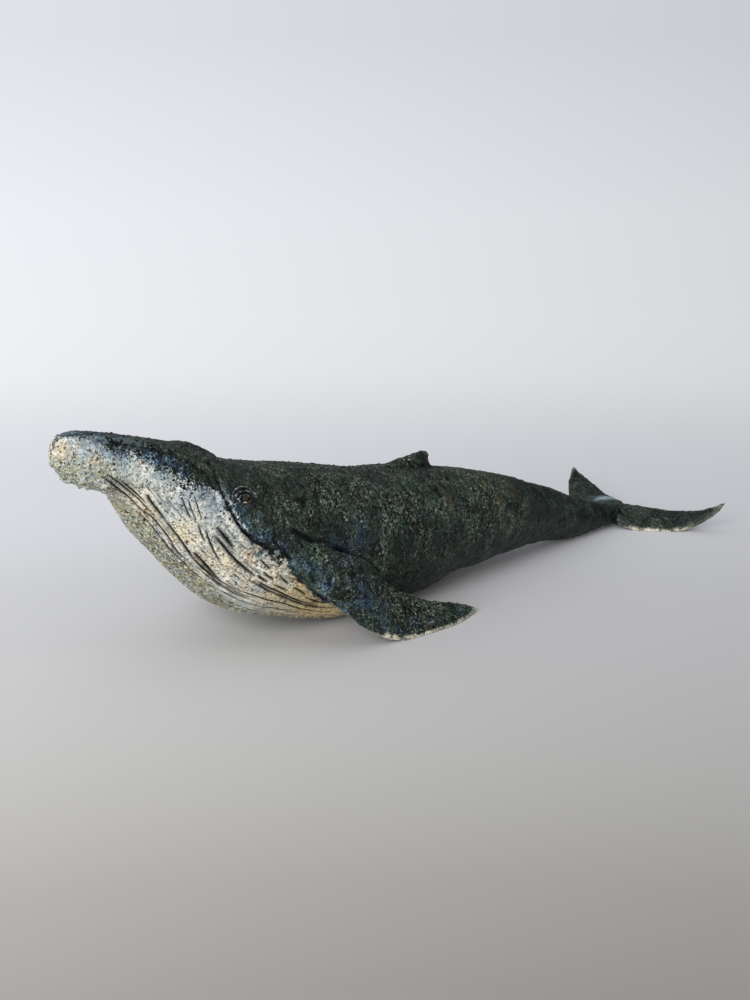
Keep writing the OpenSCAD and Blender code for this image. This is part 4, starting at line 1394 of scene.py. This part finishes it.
# %% Burst the pores and open the crust
def slip_pores(tree, given, mask, pattern, slip):
    few = pores_at(tree, 3.3, 0.21, 0.85)
    many = pores_at(tree, 1.5, 0.27, 0.68)
    pores = larger(tree, few["Pores"], times(tree, many["Pores"], 0.9))
    halo = times(tree, larger(tree, few["Halo"], many["Halo"]), between(tree, pattern.mid, 0.56, 0.44))
    slip = over(tree, slip, given["Ochre"], halo, pattern.not_cool, 0.68)
    gaps = between(tree, pattern.large["Gap"], 0.2, 1.0)
    slip = over(tree, slip, given["Gap Pale"], gaps, larger(tree, pattern.not_lined, mask.crust), 0.25)
    slip = over(tree, slip, given["Gap Pale"], between(tree, pattern.crackle, 0.50, 0.42), mask.crust, 0.8)
    cool_tops = between(tree, pattern.small["Tint B"], 0.6, 0.8)
    return over(tree, slip, given["Slip Cool"], cool_tops, mask.crust, 0.6), pores

# %% Drag the threads and the rows of pinholes along the pleats
def slip_lines(tree, given, mask, pattern, slip, pores):
    flow_node = add(tree, "ShaderNodeAttribute", attribute_name="flow", attribute_type="GEOMETRY")
    long_way = stretched(tree, flow_node.outputs["Vector"], (0.07, 1.0, 1.0))
    dash_way = stretched(tree, flow_node.outputs["Vector"], (0.36, 1.0, 1.0))
    streak = grain(tree, 2.0, 2, 0.5, where=long_way)
    low_streak = times(tree, between(tree, streak, 0.50, 0.38), mask.lined)
    slip = over(tree, slip, given["Slip Deep"], low_streak, pattern.not_cream, 0.35)
    slip = over(tree, slip, given["Slip Deep"], mask.dell, mask.lined, 0.18)
    off_middle = maths(tree, "SUBTRACT", grain(tree, 3.4, 1, 0.5, where=long_way), 0.5)
    thread = between(tree, maths(tree, "ABSOLUTE", off_middle), 0.016, 0.005)
    thread = times(tree, thread, between(tree, pattern.mid, 0.40, 0.50))
    dots = add(tree, "ShaderNodeTexVoronoi", {"Vector": dash_way, "Scale": 1 / (1.5 * MM), "Randomness": 0.5})
    pinholes = between(tree, dots.outputs["Distance"], 0.30, 0.20)
    pinholes = times(tree, pinholes, between(tree, grain(tree, 7, 2), 0.42, 0.50))
    drawn_marks = times(tree, larger(tree, thread, pinholes), mask.lined, pattern.not_cream)
    pores = larger(tree, times(tree, pores, without(tree, mask.lined, 0.15)), drawn_marks)
    line_tone = over(tree, given["Rust"], given["Pit"], between(tree, pattern.broad, 0.46, 0.52))
    slip = over(tree, slip, line_tone, pores, 0.92)
    slip = over(tree, slip, given["Dark"], pattern.in_pit, 0.55)
    warm = {"Factor": mask.golden, 6: slip, 7: given["Warm Wash"]}
    slip = add(tree, "ShaderNodeMix", warm, data_type="RGBA", blend_type="MULTIPLY").outputs[2]
    return slip, pores, streak

# %% [markdown]
# ## The cobalt and the last touches
# Cobalt is a strong blue that ran into the low places. It is black-blue where it pooled, sea-blue
# where it is thin, and milky where it met the slip. After that the rims of the fins are wiped
# bare, a painted highlight goes along the lip and round the eye, a painted reflection on the far
# fluke, the dark wash stays in every groove, and painted shadow darkens the crease behind each flipper.

# %% Pour the cobalt, bare the rims, and paint the highlights, the reflection and the shadow
def cobalt_layer(tree, given, mask, pattern, below):
    run_in = times(tree, mask.blue, between(tree, pattern.mid, 0.28, 0.58))
    pool = between(tree, times(tree, run_in, between(tree, pattern.fine, 0.20, 0.46)), 0.08, 0.8)
    thin = between(tree, plus(tree, pattern.fine, pattern.washed), 0.88, 1.12)
    thinned = plus(tree, 0.35, times(tree, mask.milk, 0.6))
    cobalt = over(tree, given["Cobalt"], given["Cobalt Thin"], thin, thinned)
    milky = times(tree, between(tree, pattern.fine, 0.53, 0.62), between(tree, pattern.mid, 0.46, 0.56))
    cobalt = over(tree, cobalt, given["Cobalt Milk"], milky, mask.milk, 0.8)
    return over(tree, below, cobalt, pool, 0.85), pool


def last_touches(tree, given, mask, pattern, colour):
    bared = times(tree, mask.bare, between(tree, pattern.fine, 0.36, 0.5))
    colour = over(tree, colour, given["Bare Clay"], bared)
    # Painted highlight along the lip and round the eye: milky blue, with white glints where it is strongest.
    painted_glint = times(tree, mask.lip, between(tree, pattern.fine, 0.40, 0.55))
    colour = over(tree, colour, given["Cobalt Milk"], painted_glint, 0.8)
    colour = over(tree, colour, given["Slip"], painted_glint, between(tree, pattern.fine, 0.52, 0.60), 0.7)
    # Painted reflection: pale cool slip laid over the far fluke's top.
    colour = over(tree, colour, given["Slip Cool"], mask.wet, between(tree, pattern.washed, 0.32, 0.46), 0.8)
    # Near-black in every groove, and painted shadow in the crease behind each flipper.
    return over(tree, colour, given["Pit"], mask.groove, 0.97), bared

# %% Raise the grains and sink the pores
def relief_height(tree, mask, pattern, is_pale, sunk):
    height = plus(tree, times(tree, pattern.large["Grain"], 0.7), times(tree, pattern.small["Grain"], 0.4))
    height = plus(tree, height, pattern.fine)
    height = plus(tree, height, times(tree, sunk["streak"], mask.lined, 1.2))
    height = maths(tree, "SUBTRACT", height, times(tree, sunk["pores"], is_pale, 1.2))
    not_pale = maths(tree, "SUBTRACT", 1.0, is_pale)
    height = maths(tree, "SUBTRACT", height, times(tree, sunk["pits"], not_pale, 1.4))
    rise = plus(tree, 0.15, times(tree, is_pale, 0.3))
    return times(tree, height, plus(tree, rise, times(tree, mask.grit, 0.9)))

# %% Lay all the layers in one group
def laid_glazes():
    inputs = [(label, "Color", paint(*colour)) for label, colour in GLAZE_COLOURS.items()]
    outputs = [("Color", "Color"), ("Roughness", "Float"), ("Height", "Float"), ("Gloss", "Float")]
    tree, given, end = group_of("laid_glazes", inputs, outputs)
    mask = SimpleNamespace(**{name: mask_of(tree, name) for name in MASKS})
    pattern = shared_patterns(tree, mask)
    dark, gritty, pits = dark_layer(tree, given, mask, pattern)
    slip, pores = slip_pores(tree, given, mask, pattern, slip_ground(tree, given, mask, pattern))
    slip, pores, streak = slip_lines(tree, given, mask, pattern, slip, pores)

    stippled = plus(tree, mask.pale, times(tree, maths(tree, "SUBTRACT", pattern.large["Tint A"], 0.5), 0.5))
    stippled = plus(tree, stippled, times(tree, maths(tree, "SUBTRACT", pattern.fine, 0.5), 2.0))
    stray = times(tree, between(tree, gritty, 0.45, 0.8), 0.8)
    allowed = larger(tree, between(tree, mask.pale, 0.0, 0.1), stray)
    is_pale = times(tree, between(tree, stippled, 0.34, 0.66), allowed)
    colour, pool = cobalt_layer(tree, given, mask, pattern, over(tree, dark, slip, is_pale))
    colour, bared = last_touches(tree, given, mask, pattern, colour)

    gloss = maths(tree, "ADD", times(tree, pool, 0.45), times(tree, mask.sheen, 0.7), True)
    rough = maths(tree, "SUBTRACT", 0.46, times(tree, gloss, 0.26))
    rough = plus(tree, rough, times(tree, larger(tree, bared, mask.groove), 0.3))
    rough = plus(tree, rough, times(tree, is_pale, 0.08))
    sunk = {"streak": streak, "pores": pores, "pits": pits}
    height = times(tree, relief_height(tree, mask, pattern, is_pale, sunk), without(tree, gloss, 0.6))
    return close_group(tree, end, {"Color": colour, "Roughness": rough, "Height": height, "Gloss": gloss})


GLAZES = laid_glazes()
print("glaze nodes:", len(GLAZES.nodes))

# %% [markdown]
# ## The fired finishes
# Every finish is a Principled BSDF with the glaze group before it. The glaze itself is a clear
# glassy layer, so some coat lies over the colour, more where it pooled.

# %% Mix a finish for each slot of the record
GRAIN_RISE = 0.6 * MM
THIN_COAT = 0.13


def empty_material(name):
    made = bpy.data.materials.new(name)
    made.use_nodes = True
    made.node_tree.nodes.clear()
    return made, made.node_tree


def fired_finish(name):
    made, tree = empty_material(name)
    glazes = add(tree, "ShaderNodeGroup", node_tree=GLAZES)
    bumps = {"Strength": 1.0, "Distance": GRAIN_RISE, "Height": glazes.outputs["Height"]}
    relief = add(tree, "ShaderNodeBump", bumps)
    coat_share = plus(tree, THIN_COAT, times(tree, glazes.outputs["Gloss"], 0.5))
    surface = add(
        tree,
        "ShaderNodeBsdfPrincipled",
        {
            "Base Color": glazes.outputs["Color"],
            "Roughness": glazes.outputs["Roughness"],
            "Normal": relief.outputs["Normal"],
            "Coat Normal": relief.outputs["Normal"],
            "Coat Weight": coat_share,
            "Coat Roughness": 0.08,
            "Specular IOR Level": 0.06,
        },
    )
    add(tree, "ShaderNodeOutputMaterial", {"Surface": surface.outputs[0]})
    return made


def eye_finish(name):
    made, tree = empty_material(name)
    iris = times(tree, mask_of(tree, "iris"), between(tree, grain(tree, 0.5, 3), 0.35, 0.6))
    looks = {
        "Base Color": over(tree, paint(5, 6, 7), paint(34, 27, 18), iris),
        "Roughness": plus(tree, 0.1, times(tree, iris, 0.12)),
        "Coat Weight": 0.8,
        "Coat Roughness": 0.05,
    }
    surface = add(tree, "ShaderNodeBsdfPrincipled", looks)
    add(tree, "ShaderNodeOutputMaterial", {"Surface": surface.outputs[0]})
    return made


GLAZED_SLOTS = ("dark_glaze", "snout_glaze", "fin_glaze", "blue_glaze", "pale_slip")
FINISHES = {name: fired_finish(name) for name in GLAZED_SLOTS}
FINISHES["black_glaze"] = eye_finish("black_glaze")
print("finishes:", sorted(FINISHES))

# %% Give every piece its finish and its place in the frame
SLOT_WORDS = {
    "blue_glaze": ("lower_lip",),
    "pale_slip": ("throat", "chin"),
    "snout_glaze": ("upper_jaw", "snout"),
    "fin_glaze": ("flipper", "fluke"),
}


def slot_of(name):
    if name.endswith("_eye"):
        return "black_glaze"
    return next((slot for slot, words in SLOT_WORDS.items() if any(w in name for w in words)), "dark_glaze")


def finish_piece(piece, finish, nodes=()):
    piece.data.materials.clear()
    piece.data.materials.append(FINISHES[finish])
    if nodes:
        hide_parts(*nodes)
    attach(piece, "root")


for name, piece in fired.items():
    finish_piece(piece, slot_of(name), [name])
print({name: slot_of(name) for name in sorted(cad)})

# %% [markdown]
# ## Crumbs of grog
# Coarse grog breaks through the skin of the clay and stands up as crumbs a millimetre or two wide.
# They are thickest along the keel of the throat, under the chin and over the snout. A Geometry
# Nodes tree scatters points over the skin by a painted density and sets a rough little ball on each,
# half sunk. The painted masks travel with the points, so that each crumb takes the glaze round it.

# %% Build the tree that scatters crumbs
def scatter_crumbs():
    inputs = [
        ("Crumbs Per Area", "NodeSocketFloat", 1.0),
        ("Smallest", "NodeSocketFloat", 0.4 * MM),
        ("Largest", "NodeSocketFloat", 0.9 * MM),
        ("Seed", "NodeSocketInt", 5),
        ("Glaze", "NodeSocketMaterial", None),
    ]
    tree, start, end = tree_with("scatter_crumbs", inputs)
    link = tree.links.new
    density = tree.nodes.new("GeometryNodeInputNamedAttribute")
    density.data_type = "FLOAT"
    density.inputs["Name"].default_value = "crumbly"
    thick = tree.nodes.new("ShaderNodeMath")
    thick.operation = "MULTIPLY"
    points = tree.nodes.new("GeometryNodeDistributePointsOnFaces")
    ball = tree.nodes.new("GeometryNodeMeshIcoSphere")
    ball.inputs["Radius"].default_value = 1.0
    ball.inputs["Subdivisions"].default_value = 2
    size = tree.nodes.new("FunctionNodeRandomValue")
    shape = tree.nodes.new("FunctionNodeRandomValue")
    shape.data_type = "FLOAT_VECTOR"
    shape.inputs["Min"].default_value, shape.inputs["Max"].default_value = (0.7, 0.7, 0.45), (1.15, 1.15, 0.8)
    sized = tree.nodes.new("ShaderNodeVectorMath")
    sized.operation = "SCALE"
    place = tree.nodes.new("GeometryNodeInstanceOnPoints")
    real = tree.nodes.new("GeometryNodeRealizeInstances")
    smooth = tree.nodes.new("GeometryNodeSetShadeSmooth")
    glaze = tree.nodes.new("GeometryNodeSetMaterial")
    link(density.outputs["Attribute"], thick.inputs[0])
    link(start.outputs["Crumbs Per Area"], thick.inputs[1])
    link(start.outputs["Geometry"], points.inputs["Mesh"])
    link(thick.outputs[0], points.inputs["Density"])
    link(start.outputs["Seed"], points.inputs["Seed"])
    link(start.outputs["Smallest"], size.inputs[2])
    link(start.outputs["Largest"], size.inputs[3])
    link(shape.outputs["Value"], sized.inputs[0])
    link(size.outputs[1], sized.inputs["Scale"])
    link(points.outputs["Points"], place.inputs["Points"])
    link(ball.outputs["Mesh"], place.inputs["Instance"])
    link(points.outputs["Rotation"], place.inputs["Rotation"])
    link(sized.outputs[0], place.inputs["Scale"])
    link(place.outputs["Instances"], real.inputs["Geometry"])
    link(real.outputs["Geometry"], smooth.inputs["Geometry"])
    link(smooth.outputs[0], glaze.inputs["Geometry"])
    link(start.outputs["Glaze"], glaze.inputs["Material"])
    link(glaze.outputs["Geometry"], end.inputs["Geometry"])
    return tree


scatter = scatter_crumbs()
print("scatter nodes:", len(scatter.nodes))

# %% Paint how thickly the crumbs lie
CLEAR_OF_SHELF = 1.5 * MM
calm_masks = [stain, dell, mouth_stain, eye_near, sheen, combed, bare, blue]
smooth_there = np.clip(np.maximum.reduce(calm_masks), 0, 1)
crumbly = (0.25 + 0.9 * keel + 0.8 * chin + 0.5 * (1 - ramp(s_of, 0.1, 0.2))) * (1 - smooth_there)
crumbly = crumbly * (1 - 0.8 * shaded_low_flank) * (1 - 0.9 * ramp(s_of, 0.55, 0.75))
crumbly = crumbly * ramp(cloud(skin, 8 * MM, 31), -0.6, 0.5) * ~standing
crumbly = crumbly * (skin[:, 2] > CLEAR_OF_SHELF) * (1 - ramp(s_of, 0.8, 0.95))
print(f"crumbly: mean {crumbly.mean():.3f}")

# %% Scatter dark crumbs over the dark glaze and pale ones over the slip
CRUMBS_PER_SQUARE_METRE = 230000.0
BALL_FACES = 80
field = mesh_from("crumb_field", sculpted, [tuple(dict.fromkeys(f)) for f in quads.tolist()])
for label, values in MASKS.items():
    write_attribute(field, label, values.astype(np.float32))
room_for = np.array(cad_box) + np.array([[1], [-1]]) * INSIDE_BOX
dark_crumbs = ("dark_crumbs", "dark_glaze", 1 - pale > 0.5, 5)
pale_crumbs = ("pale_crumbs", "pale_slip", pale > 0.5, 8)
for name, slot_name, here, seed in (dark_crumbs, pale_crumbs):
    write_attribute(field, "crumbly", (crumbly * here).astype(np.float32))
    carrier = put_in_scene(name, field.copy())
    dusting = carrier.modifiers.new("scatter", "NODES")
    dusting.node_group = scatter
    modifier_input(dusting, "Crumbs Per Area", CRUMBS_PER_SQUARE_METRE)
    modifier_input(dusting, "Seed", seed)
    modifier_input(dusting, "Glaze", FINISHES[slot_name])
    made = evaluated_mesh(carrier)
    made.name = name
    bpy.data.objects.remove(carrier)
    crumbs = put_in_scene(name, made)
    made.vertices.foreach_set("co", np.clip(points_of(made), *room_for).ravel())
    made.update()
    finish_piece(crumbs, slot_name)
    print(name, len(made.polygons), "faces", len(made.polygons) // BALL_FACES, "crumbs")
bpy.data.meshes.remove(field)
lap_time("crumbs")

# %% [markdown]
# ## The eyes
# Each eye is a bead of clay pressed into its socket and flattened a little, so that it stays behind
# the lids. An iris is scored round a small dark pupil, and black glaze pulled it all smooth. Rings
# of points round an axis make such a bead, and moving the front rings in and out makes the iris.

# %% Turn one eyeball
EYE_RADIUS = 2.95 * MM
EYE_FLAT = 0.58


def eyeball_rings(side, centre, rings, around):
    points, iris = [], []
    for k in range(1, rings):
        lean = math.pi * k / rings
        step = 0.055 * math.exp(-(((lean - 0.62) / 0.10) ** 2)) - 0.05 * math.exp(-((lean / 0.24) ** 2))
        away = EYE_RADIUS * (1 - step)
        for j in range(around):
            turn = 2 * math.pi * j / around
            wavy = 1 + 0.006 * math.sin(9 * turn) * math.exp(-(((lean - 0.45) / 0.15) ** 2))
            x = away * wavy * math.sin(lean) * math.cos(turn)
            z = away * wavy * math.sin(lean) * math.sin(turn) * EYE_FLAT
            points.append((centre.x + x, centre.y + side * away * math.cos(lean), centre.z + z))
            iris.append(math.exp(-(((lean - 0.47) / 0.14) ** 4)))
    poles = [(centre.x, centre.y + y, centre.z) for y in (side * EYE_RADIUS, -side * EYE_RADIUS)]
    return points + poles, iris + [0.0, 0.0]


def eyeball(side, centre, rings=36, around=56):
    points, iris = eyeball_rings(side, centre, rings, around)
    faces = []
    for k in range(rings - 2):
        for j in range(around):
            a, b = k * around + j, k * around + (j + 1) % around
            faces.append((a, b, b + around, a + around))
    front, back, last = len(points) - 2, len(points) - 1, (rings - 2) * around
    for j in range(around):
        faces.append((front, (j + 1) % around, j))
        faces.append((back, last + j, last + (j + 1) % around))
    mesh = mesh_from("eyeball", points, faces)
    work = bmesh.new()
    work.from_mesh(mesh)
    bmesh.ops.recalc_face_normals(work, faces=work.faces)
    work.to_mesh(mesh)
    work.free()
    mesh.polygons.foreach_set("use_smooth", np.ones(len(mesh.polygons), bool))
    write_attribute(mesh, "iris", np.array(iris, np.float32))
    return mesh

# %% Set both eyeballs in their sockets
for side, name in SIDES.items():
    ball = put_in_scene(f"{name}_eyeball", eyeball(side, EYES[side]))
    finish_piece(ball, "black_glaze", [f"{name}_eye"])
    print(ball.name, len(ball.data.polygons), "faces")

# %% [markdown]
# ## The shelf and the soft light
# The figurine stands on pale paper in window light. The floor is one large sheet. Its colour
# holds painted shade: darker towards the camera and to the right, as in a room lit from the back.

# %% Lay the floor
FLOOR_REACH = 90
corners = [(x * FLOOR_REACH, y * FLOOR_REACH, 0) for x, y in ((-1, -1), (1, -1), (1, 1), (-1, 1))]
floor = put_in_scene("floor", mesh_from("floor", corners, [(0, 1, 2, 3)]))
floor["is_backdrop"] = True
print("floor:", 2 * FLOOR_REACH, "m wide")

# %% Paint the paper's shade, paler with the distance from the viewer and darker to the right
CAMERA_AT = Vector((-0.6586, -0.64005, 0.2867))
HALF_TURN = math.sqrt(0.5)
# Each entry is half a metre over the distance to the viewer, and the paper's colour there with its painted
# shade.
PAPER_SHADES = [
    (0.0, (224, 227, 233)), (0.07, (231, 233, 239)), (0.17, (238, 240, 245)),
    (0.27, (239, 241, 245)), (0.38, (235, 236, 239)), (0.45, (229, 229, 232)),
    (0.534, (213, 212, 213)), (0.62, (202, 201, 200)), (0.729, (189, 187, 184)),
    (0.865, (168, 165, 161)), (0.994, (154, 151, 146)),
]


def painted_paper_shade():
    """The paper's painted shade, from how far ahead of the viewer a place is and how far to the right."""
    outputs = [("Color", "Color"), ("Away", "Float")]
    tree, given, end = group_of("painted_paper_shade", [("Ahead", "Float", 1.0), ("Aside", "Float", 0.0)], outputs)
    squares = [times(tree, given[label], given[label]) for label in ("Ahead", "Aside")]
    away = larger(tree, maths(tree, "SQRT", plus(tree, *squares)), 0.3)
    turned = maths(tree, "DIVIDE", given["Aside"], away)
    # Painted shade: the paper darkens to the right of the view.
    dimming = {"Value": turned, "From Min": -0.21, "From Max": 0.21, "To Min": 1.0, "To Max": 0.78}
    dimmed = add(tree, "ShaderNodeMapRange", dimming)
    tones = add(tree, "ShaderNodeValToRGB", {0: maths(tree, "DIVIDE", 0.5, away)})
    bands = tones.color_ramp.elements
    while len(bands) < len(PAPER_SHADES):
        bands.new(0.5)
    for band, (position, colour) in zip(bands, PAPER_SHADES):
        band.position, band.color = position, paint(*colour)
    layers = {"Factor": 1.0, 6: tones.outputs[0], 7: dimmed.outputs[0]}
    shade = add(tree, "ShaderNodeMix", layers, data_type="RGBA", blend_type="MULTIPLY")
    return close_group(tree, end, {"Color": shade.outputs[2], "Away": away})


PAINTED_PAPER_SHADE = painted_paper_shade()
print("tones of paper:", len(PAPER_SHADES))

# %% Paint the floor with it
def across(tree, vector, shift=(0.0, 0.0)):
    """How far a place is ahead of the viewer and to the right, who looks along the diagonal."""
    split = add(tree, "ShaderNodeSeparateXYZ", {0: vector})
    x, y = split.outputs[0], split.outputs[1]
    ahead = plus(tree, times(tree, plus(tree, x, y), HALF_TURN), shift[0])
    aside = plus(tree, times(tree, maths(tree, "SUBTRACT", x, y), HALF_TURN), shift[1])
    return ahead, aside


def paper():
    made, tree = empty_material("pale_paper")
    start = (-(CAMERA_AT.x + CAMERA_AT.y) * HALF_TURN, -(CAMERA_AT.x - CAMERA_AT.y) * HALF_TURN)
    ahead, aside = across(tree, places(tree), start)
    shaded_paper = add(tree, "ShaderNodeGroup", {"Ahead": ahead, "Aside": aside}, node_tree=PAINTED_PAPER_SHADE)
    lit = add(tree, "ShaderNodeBsdfDiffuse", {"Color": shaded_paper.outputs[0]})
    glowing = add(tree, "ShaderNodeEmission", {"Color": shaded_paper.outputs[0]})
    seen = add(tree, "ShaderNodeLightPath").outputs["Is Camera Ray"]
    far = times(tree, between(tree, shaded_paper.outputs["Away"], 1.12, 1.6), seen)
    surface = add(tree, "ShaderNodeMixShader", {0: far, 1: lit.outputs[0], 2: glowing.outputs[0]})
    add(tree, "ShaderNodeOutputMaterial", {"Surface": surface.outputs[0]})
    return made


floor.data.materials.append(paper())
print("paper nodes:", len(floor.data.materials[0].node_tree.nodes))

# %% Set the camera
lens = bpy.data.cameras.new("camera")
lens.lens, lens.sensor_width = 64.8, 36
camera = bpy.data.objects.new("camera", lens)
camera.location = CAMERA_AT
camera.rotation_euler = (math.radians(90 - 14.5), 0, math.radians(-45))
bpy.context.scene.collection.objects.link(camera)
bpy.context.scene.camera = camera
print("camera at", [round(v, 3) for v in camera.location])

# %% [markdown]
# ## Window light
# One large soft lamp stands for the window on the snout's side. A small weak one, far off beyond
# the tail, puts the little shine on the wet glaze. The world is bright above and on the window's
# side and dim behind the viewer, so that the dark glaze keeps its depth. The camera sees the far
# paper's colour, with its painted shade, in its place, which hides the line where the floor ends.

# %% Hang the lamps
def soft_lamp(name, at, size, power, aim):
    lamp = bpy.data.lights.new(name, "AREA")
    lamp.shape, lamp.size, lamp.energy = "DISK", size, power
    made = bpy.data.objects.new(name, lamp)
    made.location = at
    made.rotation_euler = (Vector(aim) - Vector(at)).to_track_quat("-Z", "Y").to_euler()
    bpy.context.scene.collection.objects.link(made)
    print(name, "lamp:", power, "W,", size, "m wide")


BODY_MIDDLE = (0, 0, 0.04)
CHEEK = (-0.13, -0.03, 0.08)
soft_lamp("window", (-1.4, -0.66, 0.6), 1.0, 24, BODY_MIDDLE)
soft_lamp("far_window", (0.8, -1.12, 0.5), 0.3, 2.0, CHEEK)

# %% Light the room
TO_SKY = (-0.6, 0.3, 0.74)
VERY_FAR = 900.0


def room():
    """Bright above and on the window's side, dim behind the camera."""
    made = bpy.data.worlds.new("room")
    made.use_nodes = True
    tree = made.node_tree
    tree.nodes.clear()
    towards = add(tree, "ShaderNodeTexCoord").outputs["Generated"]
    facing = add(tree, "ShaderNodeVectorMath", {0: towards, 1: TO_SKY}, operation="DOT_PRODUCT")
    levels = {"From Min": -0.35, "From Max": 0.85, "To Min": 0.07, "To Max": 0.95}
    strength = add(tree, "ShaderNodeMapRange", {"Value": facing.outputs["Value"], **levels}).outputs[0]
    room_light = add(tree, "ShaderNodeBackground", {"Color": paint(246, 249, 254), "Strength": strength})
    ahead, aside = across(tree, towards)
    far_off = {"Ahead": times(tree, ahead, VERY_FAR), "Aside": times(tree, aside, VERY_FAR)}
    far_shaded_paper = add(tree, "ShaderNodeGroup", far_off, node_tree=PAINTED_PAPER_SHADE)
    seen = add(tree, "ShaderNodeBackground", {"Color": far_shaded_paper.outputs[0], "Strength": 1.0})
    to_camera = add(tree, "ShaderNodeLightPath").outputs["Is Camera Ray"]
    mixed = add(tree, "ShaderNodeMixShader", {0: to_camera, 1: room_light.outputs[0], 2: seen.outputs[0]})
    add(tree, "ShaderNodeOutputWorld", {"Surface": mixed.outputs[0]})
    return made


bpy.context.scene.world = room()
bpy.context.scene.view_settings.view_transform = "Standard"
print("room nodes:", len(bpy.context.scene.world.node_tree.nodes))

# %% Print the CAD box and the visual box
model_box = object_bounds()
for label, box in (("CAD box:", cad_box), ("visual box:", model_box)):
    print(label, [tuple(round(x, 5) for x in v) for v in box])
lap_time("whole scene")
